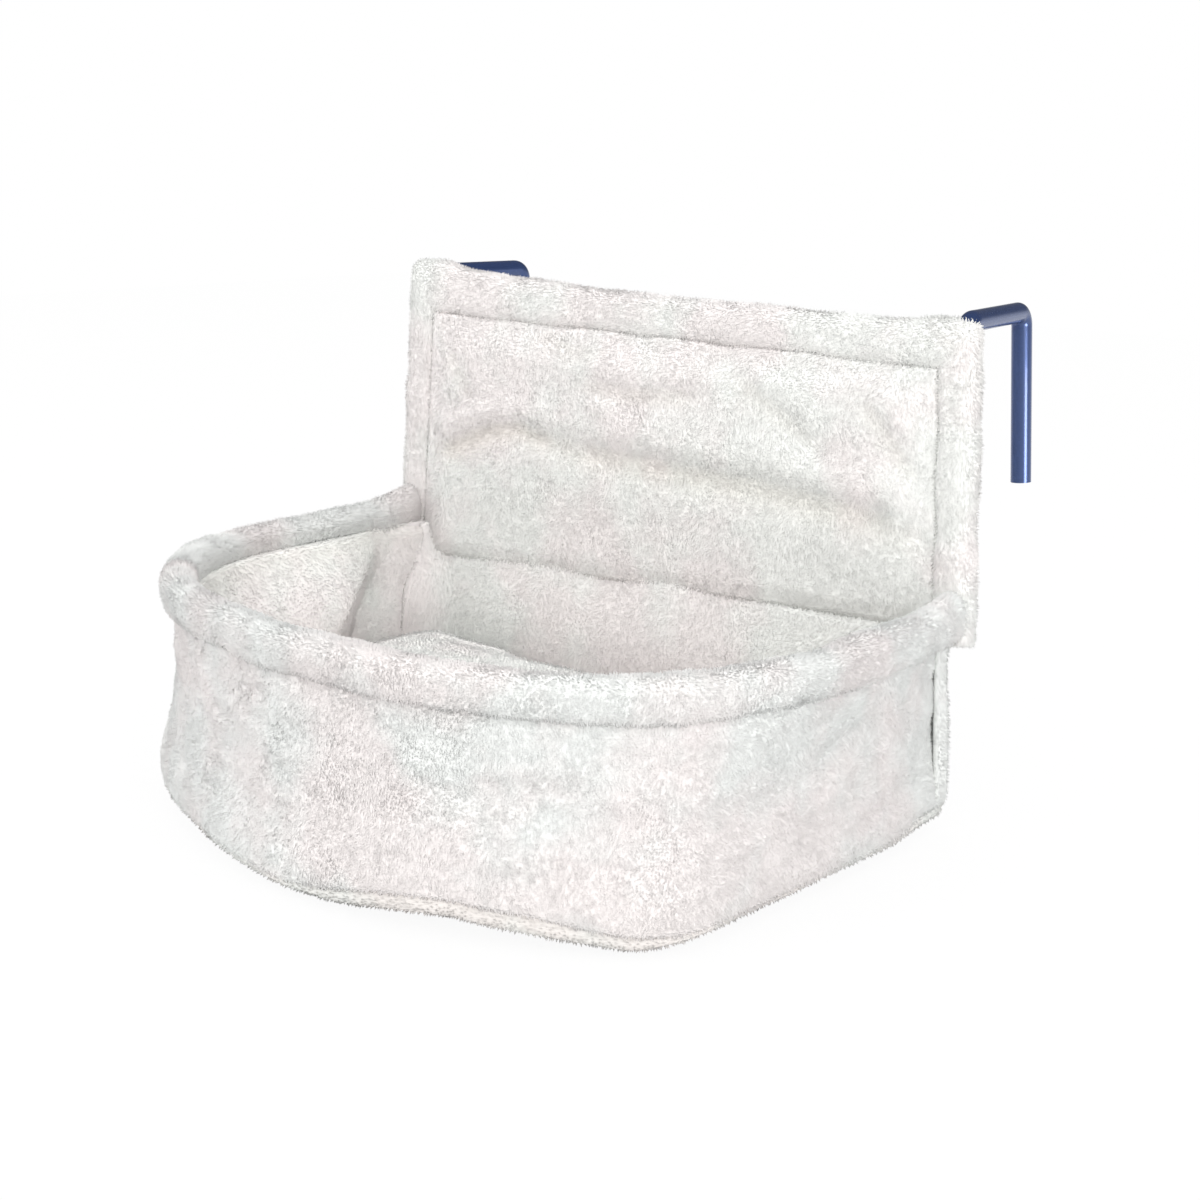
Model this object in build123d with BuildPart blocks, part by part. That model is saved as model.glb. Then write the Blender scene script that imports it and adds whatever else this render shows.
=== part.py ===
from build123d import *
from math import asin, cos, radians, sin
import os

os.makedirs("parts", exist_ok=True)

# Radiator cat bed: a plush basket on a knock-down frame of round steel tube.
# Millimetres, +Z up, +X to the right for someone who faces the bed, +Y towards the radiator.
# The origin is under the middle of the whole bed, at the height of its underside.

# Driving sizes of the frame
tube_diameter = 12.0
tube_wall = 1.0
hoop_height = 127.0
hoop_width = 425.0
hoop_depth = 298.0
hoop_leg = 140.0
hanger_rise = 162.6
hanger_top_width = 406.4
hook_reach = 85.0
hook_drop = 99.6
hook_toe_in = 9.0
hook_splay = 8.5
hook_bend_radius = 8.0
low_bend_radius = 18.0
shoulder_setback = 6.0
spigot_length = 34.0
stub_length = 34.0
spigot_wall = 1.0
slip_clearance = 0.1
crossbar_drop = 14.0

# Snap buttons and their leaf springs
button_diameter = 4.8
button_clearance = 0.2
button_proud = 1.5
button_dome = 1.1
button_setback = 16.0
leaf_thickness = 0.6
leaf_width = 4.0
leaf_arm = 17.0
leaf_tip = 4.5
leaf_seat_gap = 0.15

# Driving sizes of the cover
band_diameter = 25.0
sleeve_clearance = 0.3
ply_gap = 0.3
wall_thickness = 12.0
wall_ply = 3.8
floor_width = 431.0
floor_depth = 318.0
floor_side_length = 215.0
floor_side_taper = 4.0
floor_corner_radius = 60.0
back_ply = 3.0
back_face = 10.6
panel_ply = 3.0
panel_fill = 5.4
panel_crown = 6.0
panel_corner_rise = 5.0
panel_corner_round = 12.0
panel_ear_width = 30.0
band_edge_round = 9.0
pocket_clearance = 1.0
flap_height = 42.0
strip_height = 16.0
strip_thickness = 1.2
strip_top_margin = 6.0
strip_end_margin = 12.0
base_height = 12.0
base_ply = 3.0
board_thickness = 3.0
lining_ply = 3.0
pad_height = 25.0
pad_ply = 2.5
pad_side_gap = 2.0
pad_side_length = 150.0
board_side_gap = 1.6
overrun = 5.0

# Shares that shape the padded pieces: the outline at the foot, the belly's height, the outline at the head
base_shares = (0.86, 1.0, 1.0)
pad_shares = (0.95, 0.35, 0.72)
panel_shares = (1.0, 0.0, 0.78)
crown_steps = 4
hoop_corner_share = 0.95
pad_corner_share = 0.75

# Places worked out from the sizes
hoop_corner_radius = (hoop_depth - hoop_leg) * hoop_corner_share
tube_radius = tube_diameter / 2
bore_radius = tube_radius - tube_wall
spigot_radius = bore_radius - slip_clearance
spigot_bore_radius = spigot_radius - spigot_wall
band_radius = band_diameter / 2
sleeve_radius = tube_radius + sleeve_clearance
bottom_x = hoop_width / 2
top_x = hanger_top_width / 2
front_reach = max(hoop_depth + band_radius, floor_depth)
rear_reach = hook_reach + tube_radius
panel_y = (front_reach - rear_reach) / 2
hook_z = hoop_height + hanger_rise
bar_z = hook_z - crossbar_drop
shoulder_y = panel_y - low_bend_radius - shoulder_setback
bar_upright_x = top_x + (bottom_x - top_x) * crossbar_drop / hanger_rise
edge_lean = (bottom_x - top_x) / hanger_rise
bar_end_x = bar_upright_x - tube_radius * (1 + edge_lean) - ply_gap
button_hole_radius = button_diameter / 2 + button_clearance
button_top = tube_radius + button_proud
leaf_reach = (spigot_bore_radius ** 2 - (leaf_width / 2) ** 2) ** 0.5 - leaf_seat_gap
wall_top = hoop_height - band_radius - ply_gap
wall_foot = base_height + ply_gap
board_z = base_height + ply_gap
lining_z = board_z + board_thickness + ply_gap
pad_z = lining_z + lining_ply + ply_gap


def tube_line(side):
    """Gives the centreline of one hanger from its hook's tip to the shoulder of its spigot."""
    corners = [
        (side * (top_x - hook_toe_in + hook_splay), panel_y + hook_reach, hook_z - hook_drop),
        (side * (top_x - hook_toe_in), panel_y + hook_reach, hook_z),
        (side * top_x, panel_y, hook_z),
        (side * bottom_x, panel_y, hoop_height),
        (side * bottom_x, shoulder_y, hoop_height),
    ]
    bends = [hook_bend_radius, hook_bend_radius, low_bend_radius]
    with BuildLine() as line:
        FilletPolyline(*corners, radius=bends)
    return line.wire()


def hanger_solid(side, radius):
    """Gives a solid rod of one radius along a hanger's whole centreline."""
    path = tube_line(side)
    with BuildPart(mode=Mode.PRIVATE) as rod:
        with BuildSketch(Plane(path @ 0, z_dir=path % 0)):
            Circle(radius)
        sweep(path=path)
    return rod.part


def d_corner(half_width, side_length, taper, corner_radius, depth):
    """Gives the side's end, the corner's centre and the front's radius for half of a D outline."""
    lean = radians(taper)
    side_end = (half_width - side_length * sin(lean), side_length * cos(lean))
    centre = (side_end[0] - corner_radius * cos(lean), side_end[1] - corner_radius * sin(lean))
    room = depth - centre[1]
    front_radius = (centre[0] ** 2 + room ** 2 - corner_radius ** 2) / (2 * (room - corner_radius))
    return side_end, centre, front_radius


def d_points(half_width, side_length, taper, corner_radius, depth, back, inset):
    """Gives the points of a D outline that lies inset from the given one, right side first."""
    lean = radians(taper)
    side_end, centre, front_radius = d_corner(half_width, side_length, taper, corner_radius, depth)
    bow = radians(90) - asin(centre[0] / (front_radius - corner_radius))
    radius = corner_radius - inset
    half_turn = (bow - lean) / 2 + lean
    start = (half_width + back * sin(lean) / cos(lean) - inset / cos(lean), -back)
    straight_end = (centre[0] + radius * cos(lean), centre[1] + radius * sin(lean))
    corner_mid = (centre[0] + radius * cos(half_turn), centre[1] + radius * sin(half_turn))
    corner_end = (centre[0] + radius * cos(bow), centre[1] + radius * sin(bow))
    return start, straight_end, corner_mid, corner_end, (0, depth - inset)


def d_half_loop(points, centre_y, flip=False):
    """Draws the open D through its points: side, corner, bowed front, corner and side."""
    start, straight_end, corner_mid, corner_end, front = points
    right = [(x, centre_y - y) for x, y in (start, straight_end, corner_mid, corner_end)]
    left = [(-x, y) for x, y in right]
    if flip:
        right, left = left, right
    Line(right[0], right[1])
    ThreePointArc(right[1], right[2], right[3])
    ThreePointArc(right[3], (0, centre_y - front[1]), left[3])
    ThreePointArc(left[3], left[2], left[1])
    Line(left[1], left[0])


def hoop_outline(inset, back=0):
    """Gives the D of the hoop's centreline, or one inset from it."""
    return d_points(bottom_x, hoop_leg, 0, hoop_corner_radius, hoop_depth, back, inset)


def floor_outline(inset, back=0):
    """Gives the D of the cover's lower edge, or one inset from it."""
    return d_points(
        floor_width / 2,
        floor_side_length,
        floor_side_taper,
        floor_corner_radius,
        floor_depth,
        back,
        inset,
    )


def filled_outline(outline, inset, back, share=1):
    """Makes a face of a D outline, drawn round the middle of the floor at the sketch's origin."""
    points = outline(inset, back)
    middle = floor_depth / 2
    with BuildLine() as edge:
        d_half_loop(points, middle)
        Line((-points[0][0], middle + back), (points[0][0], middle + back))
    with BuildSketch() as face:
        make_face(edge.edges())
        scale(by=share)
    return face.sketch


def pad_outline(inset, back=0):
    """Gives the D of the loose pad, which clears the rim band above it, or one inset from it."""
    inner_width = min(floor_width / 2 - wall_thickness, bottom_x - band_radius) - pad_side_gap
    inner_depth = min(floor_depth - wall_thickness, hoop_depth - band_radius) - pad_side_gap
    corner = hoop_corner_radius * pad_corner_share
    return d_points(inner_width, pad_side_length, floor_side_taper, corner, inner_depth, back, inset)


def wall_band(outline, outside, inside):
    """Makes the U-shaped face of one ply of the wall between two insets of an outline."""
    back = -(wall_thickness / 2 + ply_gap)
    outer = outline(outside, back)
    inner = outline(inside, back)
    with BuildLine() as edge:
        d_half_loop(outer, panel_y)
        Line((-outer[0][0], panel_y + back), (-inner[0][0], panel_y + back))
        d_half_loop(inner, panel_y, flip=True)
        Line((inner[0][0], panel_y + back), (outer[0][0], panel_y + back))
    with BuildSketch() as face:
        make_face(edge.edges())
    return face.sketch


def wall_solid(outside, inside):
    """Makes one ply of the side and front wall, from the floor seam up to the rim band."""
    half = wall_thickness / 2
    with BuildPart(mode=Mode.PRIVATE) as ply:
        with BuildSketch(Plane.XY.offset(wall_foot)):
            add(wall_band(floor_outline, outside, inside))
        with BuildSketch(Plane.XY.offset(wall_top)):
            add(wall_band(hoop_outline, outside - half, inside - half))
        loft(ruled=True)
    return ply.part


def crown_rows(foot_share, belly_share, head_share):
    """Gives the rows of a padded form: its share of the height and its share of the outline."""
    turns = [radians(90) * step / crown_steps for step in range(crown_steps + 1)]
    lower = [(belly_share * (1 - cos(a)), foot_share + (1 - foot_share) * sin(a)) for a in turns]
    upper = [(belly_share + (1 - belly_share) * sin(a), 1 - (1 - head_share) * (1 - cos(a))) for a in turns]
    if belly_share == 0:
        return upper
    if belly_share == 1:
        return lower
    return lower + upper[1:]


def padded_solid(outline, low_z, height, inset, back, shares):
    """Makes a pad whose sides draw in towards its foot and its crown."""
    middle_y = panel_y - floor_depth / 2
    with BuildPart(mode=Mode.PRIVATE) as pad:
        for height_share, outline_share in crown_rows(*shares):
            with BuildSketch(Plane((0, middle_y, low_z + height * height_share))):
                add(filled_outline(outline, inset, back, outline_share))
        loft(ruled=True)
    return pad.part


def panel_sheet(margin, low_z):
    """Makes the face of the back panel between its sleeves, with a margin to them."""
    foot = bottom_x - band_radius - margin + edge_lean * (hoop_height - low_z)
    head_z = bar_z - band_radius - margin
    head = foot - edge_lean * (head_z - low_z)
    with BuildSketch() as face:
        with BuildLine():
            Polyline((-foot, low_z), (foot, low_z), (head, head_z), (-head, head_z), close=True)
        make_face()
    return face.sketch


def snap_arm(origin, along, outward):
    """Makes a snap button: a domed stud on the upper arm of its leaf spring."""
    width = Vector(*along).cross(Vector(*outward))
    arm_plane = Plane(origin, x_dir=along, z_dir=width)
    stud_plane = Plane(Vector(*origin) + Vector(*outward) * (leaf_reach - leaf_thickness), z_dir=outward)
    with BuildPart(mode=Mode.PRIVATE) as arm:
        with BuildSketch(arm_plane):
            with Locations(((leaf_tip - leaf_arm) / 2, leaf_reach - leaf_thickness / 2)):
                Rectangle(leaf_arm + leaf_tip, leaf_thickness)
        extrude(amount=leaf_width / 2, both=True)
        with BuildSketch(stud_plane):
            Circle(button_diameter / 2)
        extrude(amount=button_top - leaf_reach + leaf_thickness)
        fillet(arm.edges().filter_by(GeomType.CIRCLE).sort_by_distance(
            Vector(*origin) + Vector(*outward) * (button_top + overrun))[0], button_dome)
    return arm.part


def snap_leaf(origin, along, outward):
    """Makes the fixed arm and the bend of a snap button's leaf spring, on the bore's far wall."""
    width = Vector(*along).cross(Vector(*outward))
    bend_start = -leaf_arm - ply_gap
    inner = leaf_reach - leaf_thickness
    with BuildPart(mode=Mode.PRIVATE) as leaf:
        with BuildSketch(Plane(origin, x_dir=along, z_dir=width)):
            with BuildLine():
                Line((leaf_tip, -leaf_reach), (bend_start, -leaf_reach))
                ThreePointArc((bend_start, -leaf_reach), (bend_start - leaf_reach, 0), (bend_start, leaf_reach))
                Line((bend_start, leaf_reach), (bend_start, inner))
                ThreePointArc((bend_start, inner), (bend_start - inner, 0), (bend_start, -inner))
                Line((bend_start, -inner), (leaf_tip, -inner))
                Line((leaf_tip, -inner), (leaf_tip, -leaf_reach))
            make_face()
        extrude(amount=leaf_width / 2, both=True)
    return leaf.part


# Hangers: hook, reach over the radiator, upright, forward spigot and a stub for the crossbar
def make_hanger(side):
    path = tube_line(side)
    inward = (-side, 0, 0)
    bore_end = (side * bottom_x, shoulder_y + tube_wall, hoop_height)
    spigot_start = (side * bottom_x, shoulder_y + low_bend_radius / 2, hoop_height)
    button_y = shoulder_y - button_setback
    stub_reach = tube_radius + ply_gap + stub_length
    button_x = bar_end_x - button_setback
    with BuildPart(mode=Mode.PRIVATE) as hanger:
        with BuildSketch(Plane(path @ 0, z_dir=path % 0)):
            Circle(tube_radius)
        sweep(path=path)
        with BuildSketch(Plane(spigot_start, z_dir=(0, -1, 0))):
            Circle(spigot_radius)
        extrude(amount=low_bend_radius / 2 + spigot_length)
        with BuildSketch(Plane((side * bar_upright_x, panel_y, bar_z), z_dir=inward)):
            Circle(spigot_radius)
        extrude(amount=stub_reach)
        with BuildSketch(Plane(path @ 0, z_dir=path % 0)):
            Circle(bore_radius)
        sweep(path=path, mode=Mode.SUBTRACT)
        with BuildSketch(Plane(bore_end, z_dir=(0, -1, 0))):
            Circle(tube_radius)
        extrude(amount=tube_wall)
        with BuildSketch(Plane(bore_end, z_dir=(0, -1, 0))):
            Circle(spigot_bore_radius)
        extrude(amount=spigot_length + overrun, mode=Mode.SUBTRACT)
        with BuildSketch(Plane((side * (bar_upright_x - tube_radius), panel_y, bar_z), z_dir=inward)):
            Circle(spigot_bore_radius)
        extrude(amount=stub_reach, mode=Mode.SUBTRACT)
        with BuildSketch(Plane((side * bottom_x, button_y, hoop_height), z_dir=(side, 0, 0))):
            Circle(button_hole_radius)
        extrude(amount=tube_diameter, mode=Mode.SUBTRACT)
        with BuildSketch(Plane((side * button_x, panel_y, bar_z), z_dir=(0, 1, 0))):
            Circle(button_hole_radius)
        extrude(amount=tube_diameter, mode=Mode.SUBTRACT)
    return hanger.part


with BuildPart() as left_hanger_tube:
    add(make_hanger(-1))
left_hanger_tube.part.label = "left_hanger_tube"
export_step(left_hanger_tube.part, "parts/left_hanger_tube.step")

with BuildPart() as right_hanger_tube:
    add(make_hanger(1))
right_hanger_tube.part.label = "right_hanger_tube"
export_step(right_hanger_tube.part, "parts/right_hanger_tube.step")


# Crossbar: a straight tube that slips over the hangers' stubs at the top of the back panel
with BuildPart() as crossbar_tube:
    with BuildSketch(Plane((-bar_end_x, panel_y, bar_z), z_dir=(1, 0, 0))):
        Circle(tube_radius)
        Circle(bore_radius, mode=Mode.SUBTRACT)
    extrude(amount=2 * bar_end_x)
    for side in (-1, 1):
        button_x = side * (bar_end_x - button_setback)
        with BuildSketch(Plane((button_x, panel_y, bar_z), z_dir=(0, 1, 0))):
            Circle(button_hole_radius)
        extrude(amount=tube_diameter, mode=Mode.SUBTRACT)
crossbar_tube.part.label = "crossbar_tube"
export_step(crossbar_tube.part, "parts/crossbar_tube.step")


# Front hoop: a bent tube that slips over the hangers' spigots and carries the basket's rim
with BuildLine(Plane.XY.offset(hoop_height)) as hoop_line:
    hoop_points = hoop_outline(0, shoulder_y - panel_y)
    d_half_loop(hoop_points, panel_y)
hoop_path = hoop_line.wire()

with BuildPart() as front_hoop_tube:
    with BuildSketch(Plane(hoop_path @ 0, z_dir=hoop_path % 0)):
        Circle(tube_radius)
        Circle(bore_radius, mode=Mode.SUBTRACT)
    sweep(path=hoop_path)
    for side in (-1, 1):
        hole_place = (side * bottom_x, shoulder_y - button_setback, hoop_height)
        with BuildSketch(Plane(hole_place, z_dir=(side, 0, 0))):
            Circle(button_hole_radius)
        extrude(amount=tube_diameter, mode=Mode.SUBTRACT)
front_hoop_tube.part.label = "front_hoop_tube"
export_step(front_hoop_tube.part, "parts/front_hoop_tube.step")


# Snap buttons: each joint of the frame is locked by a domed stud on a leaf spring in its spigot
snap_places = {}
for side, side_name in ((-1, "left"), (1, "right")):
    hoop_place = (side * bottom_x, shoulder_y - button_setback, hoop_height)
    bar_place = (side * (bar_end_x - button_setback), panel_y, bar_z)
    snap_places[side_name + "_hoop"] = (hoop_place, (0, 1, 0), (side, 0, 0))
    snap_places[side_name + "_crossbar"] = (bar_place, (side, 0, 0), (0, 1, 0))

for snap_name, (place, along, outward) in snap_places.items():
    with BuildPart() as snap_button:
        add(snap_arm(place, along, outward))
    snap_button.part.label = snap_name + "_button"
    export_step(snap_button.part, f"parts/{snap_name}_button.step")
    with BuildPart() as snap_spring:
        add(snap_leaf(place, along, outward))
    snap_spring.part.label = snap_name + "_spring"
    export_step(snap_spring.part, f"parts/{snap_name}_spring.step")


# Panel sleeve: the plush band round three edges of the back panel, over the uprights and the crossbar
sleeve_foot = hoop_height - band_radius
sleeve_head = bar_z + band_radius
corner_head = sleeve_head + panel_corner_rise
foot_x = bottom_x + band_radius + edge_lean * band_radius
head_x = foot_x - edge_lean * (corner_head - sleeve_foot)
ear_x = head_x - panel_ear_width
inner_foot_x = foot_x - band_diameter
inner_head_z = bar_z - band_radius
inner_head_x = inner_foot_x - edge_lean * (inner_head_z - sleeve_foot)

with BuildPart() as panel_sleeve:
    with BuildSketch(Plane.XZ.offset(-panel_y)):
        with BuildLine():
            Polyline(
                (-inner_foot_x, sleeve_foot),
                (-foot_x, sleeve_foot),
                (-head_x, corner_head),
                (-ear_x, corner_head),
                (-ear_x + band_diameter, sleeve_head),
                (ear_x - band_diameter, sleeve_head),
                (ear_x, corner_head),
                (head_x, corner_head),
                (foot_x, sleeve_foot),
                (inner_foot_x, sleeve_foot),
                (inner_head_x, inner_head_z),
                (-inner_head_x, inner_head_z),
                close=True,
            )
        make_face()
        outer_corners = [
            corner
            for corner in vertices()
            if abs(corner.X) > head_x - band_radius and abs(corner.X) > inner_foot_x - edge_lean * (corner.Z - sleeve_foot) + band_radius
        ]
        fillet(outer_corners, panel_corner_round)
    extrude(amount=band_radius, both=True)
    long_edges = [edge for edge in panel_sleeve.edges() if abs((edge % 0.5).Y) < 0.5]
    fillet(long_edges, band_edge_round)
    for side in (-1, 1):
        add(hanger_solid(side, sleeve_radius), mode=Mode.SUBTRACT)
        with BuildSketch(Plane((side * (bar_end_x - button_setback), panel_y, bar_z), z_dir=(0, 1, 0))):
            Circle(button_hole_radius + pocket_clearance)
        extrude(amount=button_top + pocket_clearance, mode=Mode.SUBTRACT)
    with BuildSketch(Plane((-bar_upright_x, panel_y, bar_z), z_dir=(1, 0, 0))):
        Circle(sleeve_radius)
    extrude(amount=2 * bar_upright_x, mode=Mode.SUBTRACT)
panel_sleeve.part.label = "panel_sleeve"
export_step(panel_sleeve.part, "parts/panel_sleeve.step")


# Rim sleeve: the plush band that is sewn round the hoop
with BuildLine(Plane.XY.offset(hoop_height)) as rim_line:
    rim_start = -(band_radius + ply_gap)
    d_half_loop(hoop_outline(0, rim_start), panel_y)
rim_path = rim_line.wire()

with BuildPart() as rim_sleeve:
    with BuildSketch(Plane(rim_path @ 0, z_dir=rim_path % 0)):
        Circle(band_radius)
        Circle(sleeve_radius, mode=Mode.SUBTRACT)
    sweep(path=rim_path)
    for side in (-1, 1):
        add(hanger_solid(side, sleeve_radius), mode=Mode.SUBTRACT)
        hole_place = (side * bottom_x, shoulder_y - button_setback, hoop_height)
        with BuildSketch(Plane(hole_place, z_dir=(side, 0, 0))):
            Circle(button_hole_radius + pocket_clearance)
        extrude(amount=button_top + pocket_clearance, mode=Mode.SUBTRACT)
rim_sleeve.part.label = "rim_sleeve"
export_step(rim_sleeve.part, "parts/rim_sleeve.step")


# Wall: outer plush, filling and lining, hung under the rim band and sewn to the base
with BuildPart() as outer_wall_plush:
    add(wall_solid(0, wall_ply))
outer_wall_plush.part.label = "outer_wall_plush"
export_step(outer_wall_plush.part, "parts/outer_wall_plush.step")

with BuildPart() as wall_filling:
    add(wall_solid(wall_ply + ply_gap, wall_thickness - wall_ply - ply_gap))
wall_filling.part.label = "wall_filling"
export_step(wall_filling.part, "parts/wall_filling.step")

with BuildPart() as wall_lining:
    add(wall_solid(wall_thickness - wall_ply, wall_thickness))
wall_lining.part.label = "wall_lining"
export_step(wall_lining.part, "parts/wall_lining.step")


# Back wall under the panel: plush towards the radiator, filling, and lining towards the cat
back_half_width = floor_width / 2
front_face = -wall_thickness / 2
plush_front = back_face - back_ply
flap_half_width = inner_foot_x - ply_gap - edge_lean * flap_height
flap_top = hoop_height + flap_height

with BuildPart() as back_wall_plush:
    with BuildSketch(Plane.XZ.offset(-panel_y - plush_front)):
        with Locations((0, (wall_foot + wall_top) / 2)):
            Rectangle(2 * back_half_width, wall_top - wall_foot)
        with Locations((0, (wall_foot + flap_top) / 2)):
            Rectangle(2 * flap_half_width, flap_top - wall_foot)
    extrude(amount=-back_ply)
back_wall_plush.part.label = "back_wall_plush"
export_step(back_wall_plush.part, "parts/back_wall_plush.step")

with BuildPart() as back_wall_filling:
    with BuildSketch(Plane.XZ.offset(-panel_y - front_face - wall_ply - ply_gap)):
        with Locations((0, (wall_foot + wall_top) / 2)):
            Rectangle(2 * back_half_width, wall_top - wall_foot)
    extrude(amount=-(plush_front - front_face - wall_ply - 2 * ply_gap))
back_wall_filling.part.label = "back_wall_filling"
export_step(back_wall_filling.part, "parts/back_wall_filling.step")

with BuildPart() as back_wall_lining:
    with BuildSketch(Plane.XZ.offset(-panel_y - front_face)):
        with Locations((0, (wall_foot + wall_top) / 2)):
            Rectangle(2 * back_half_width, wall_top - wall_foot)
    extrude(amount=-wall_ply)
back_wall_lining.part.label = "back_wall_lining"
export_step(back_wall_lining.part, "parts/back_wall_lining.step")


# Back panel: crowned front plush, filling and back plush between the three sleeves
panel_back_face = plush_front - ply_gap - 2 * strip_thickness - 2 * ply_gap
panel_back_front = panel_back_face - panel_ply
panel_fill_front = panel_back_front - ply_gap - panel_fill

with BuildPart() as panel_back_plush:
    with BuildSketch(Plane.XZ.offset(-panel_y - panel_back_front)):
        add(panel_sheet(ply_gap, sleeve_foot))
    extrude(amount=-panel_ply)
panel_back_plush.part.label = "panel_back_plush"
export_step(panel_back_plush.part, "parts/panel_back_plush.step")

with BuildPart() as panel_filling:
    with BuildSketch(Plane.XZ.offset(-panel_y - panel_fill_front)):
        add(panel_sheet(ply_gap, sleeve_foot))
    extrude(amount=-panel_fill)
panel_filling.part.label = "panel_filling"
export_step(panel_filling.part, "parts/panel_filling.step")

panel_middle_z = (sleeve_foot + inner_head_z) / 2
with BuildPart() as panel_front_plush:
    for height_share, outline_share in crown_rows(*panel_shares):
        forward = ply_gap - panel_fill_front + (panel_ply + panel_crown) * height_share
        plane = Plane((0, panel_y - forward, panel_middle_z), x_dir=(1, 0, 0), z_dir=(0, -1, 0))
        with BuildSketch(plane):
            add(panel_sheet(ply_gap, sleeve_foot).moved(Location((0, -panel_middle_z))))
            scale(by=outline_share)
    loft(ruled=True)
panel_front_plush.part.label = "panel_front_plush"
export_step(panel_front_plush.part, "parts/panel_front_plush.step")


# Hook-and-loop closure: the back wall's flap laps over the panel's back, so the frame can come out
strip_half_width = flap_half_width - strip_end_margin
strip_z = flap_top - strip_top_margin - strip_height / 2
for strip_name, strip_front in (
    ("hook_strip", panel_back_face + ply_gap),
    ("loop_strip", panel_back_face + 2 * ply_gap + strip_thickness),
):
    with BuildPart() as strip:
        with BuildSketch(Plane.XZ.offset(-panel_y - strip_front)):
            with Locations((0, strip_z)):
                RectangleRounded(2 * strip_half_width, strip_height, strip_height / 8)
        extrude(amount=-strip_thickness)
    strip.part.label = strip_name
    export_step(strip.part, f"parts/{strip_name}.step")


# Base: a padded plush dish that hangs a little below the wall's seam, with its board and lining
base_outer = padded_solid(floor_outline, 0, base_height, 0, back_face, base_shares)
base_inner = padded_solid(
    floor_outline, base_ply, base_height - base_ply, base_ply, back_face - base_ply, base_shares
)
fill_z = base_ply + ply_gap

with BuildPart() as base_plush:
    add(base_outer)
    add(base_inner, mode=Mode.SUBTRACT)
base_plush.part.label = "base_plush"
export_step(base_plush.part, "parts/base_plush.step")

with BuildPart() as base_filling:
    add(padded_solid(floor_outline, fill_z, base_height - fill_z, fill_z, back_face - fill_z, base_shares))
base_filling.part.label = "base_filling"
export_step(base_filling.part, "parts/base_filling.step")

inside_back = front_face - ply_gap
with BuildPart() as base_board:
    with BuildSketch(Plane((0, panel_y - floor_depth / 2, board_z))):
        add(filled_outline(floor_outline, wall_thickness + board_side_gap, inside_back))
    extrude(amount=board_thickness)
base_board.part.label = "base_board"
export_step(base_board.part, "parts/base_board.step")

with BuildPart() as floor_lining:
    with BuildSketch(Plane((0, panel_y - floor_depth / 2, lining_z))):
        add(filled_outline(floor_outline, wall_thickness + board_side_gap, inside_back))
    extrude(amount=lining_ply)
floor_lining.part.label = "floor_lining"
export_step(floor_lining.part, "parts/floor_lining.step")


# Floor pad: a loose cushion of two cloths round a filling, which lifts out for washing
pad_back = panel_fill_front - ply_gap - panel_ply - panel_crown - pad_side_gap
pad_belly_z = pad_z + pad_ply + ply_gap
fill_height = pad_height - 2 * pad_ply - 2 * ply_gap

with BuildPart() as pad_bottom_cloth:
    with BuildSketch(Plane((0, panel_y - floor_depth / 2, pad_z))):
        add(filled_outline(pad_outline, 0, pad_back))
    extrude(amount=pad_ply)
pad_bottom_cloth.part.label = "pad_bottom_cloth"
export_step(pad_bottom_cloth.part, "parts/pad_bottom_cloth.step")

with BuildPart() as pad_top_cloth:
    add(padded_solid(pad_outline, pad_belly_z, fill_height + pad_ply + ply_gap, 0, pad_back, pad_shares))
    add(
        padded_solid(pad_outline, pad_belly_z, fill_height + ply_gap, pad_ply, pad_back - pad_ply, pad_shares),
        mode=Mode.SUBTRACT,
    )
pad_top_cloth.part.label = "pad_top_cloth"
export_step(pad_top_cloth.part, "parts/pad_top_cloth.step")

fill_inset = pad_ply + ply_gap
with BuildPart() as pad_filling:
    add(padded_solid(pad_outline, pad_belly_z, fill_height, fill_inset, pad_back - fill_inset, pad_shares))
pad_filling.part.label = "pad_filling"
export_step(pad_filling.part, "parts/pad_filling.step")
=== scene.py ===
# %% [markdown]
# # A plush bed that hangs on a radiator
# The real bed is a cover of short white plush, pulled over a frame of blue tube.
# The tubes come ready made and stay where they are. Everything soft is made here, as closed
# meshes with real folds, and then a pile of short tufts is grown on every plush face.

# %% Load the frame and take its sizes
import math
import bpy
import numpy as np
from mathutils import Matrix, Vector


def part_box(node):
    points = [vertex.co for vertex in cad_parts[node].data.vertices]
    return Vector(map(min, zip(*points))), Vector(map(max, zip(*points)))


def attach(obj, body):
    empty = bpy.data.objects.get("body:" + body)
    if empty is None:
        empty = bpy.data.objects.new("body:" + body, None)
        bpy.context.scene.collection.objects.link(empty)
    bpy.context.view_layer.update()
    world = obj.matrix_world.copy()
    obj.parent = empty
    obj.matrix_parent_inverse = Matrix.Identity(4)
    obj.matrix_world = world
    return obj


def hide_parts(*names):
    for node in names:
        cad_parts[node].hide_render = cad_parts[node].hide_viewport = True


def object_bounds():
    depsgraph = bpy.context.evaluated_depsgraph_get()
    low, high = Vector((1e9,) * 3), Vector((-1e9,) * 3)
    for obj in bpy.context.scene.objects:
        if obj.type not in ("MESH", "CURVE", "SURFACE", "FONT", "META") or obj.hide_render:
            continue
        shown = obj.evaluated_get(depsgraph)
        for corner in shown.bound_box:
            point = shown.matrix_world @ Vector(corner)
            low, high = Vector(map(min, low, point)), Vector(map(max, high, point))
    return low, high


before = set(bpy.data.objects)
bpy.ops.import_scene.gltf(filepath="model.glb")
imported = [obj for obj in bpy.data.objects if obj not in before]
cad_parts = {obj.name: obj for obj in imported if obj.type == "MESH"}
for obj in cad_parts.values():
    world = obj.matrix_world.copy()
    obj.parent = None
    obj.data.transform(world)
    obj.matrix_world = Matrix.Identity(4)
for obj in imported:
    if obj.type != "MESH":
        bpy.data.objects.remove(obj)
cad_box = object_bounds()
MM = 0.001

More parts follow.
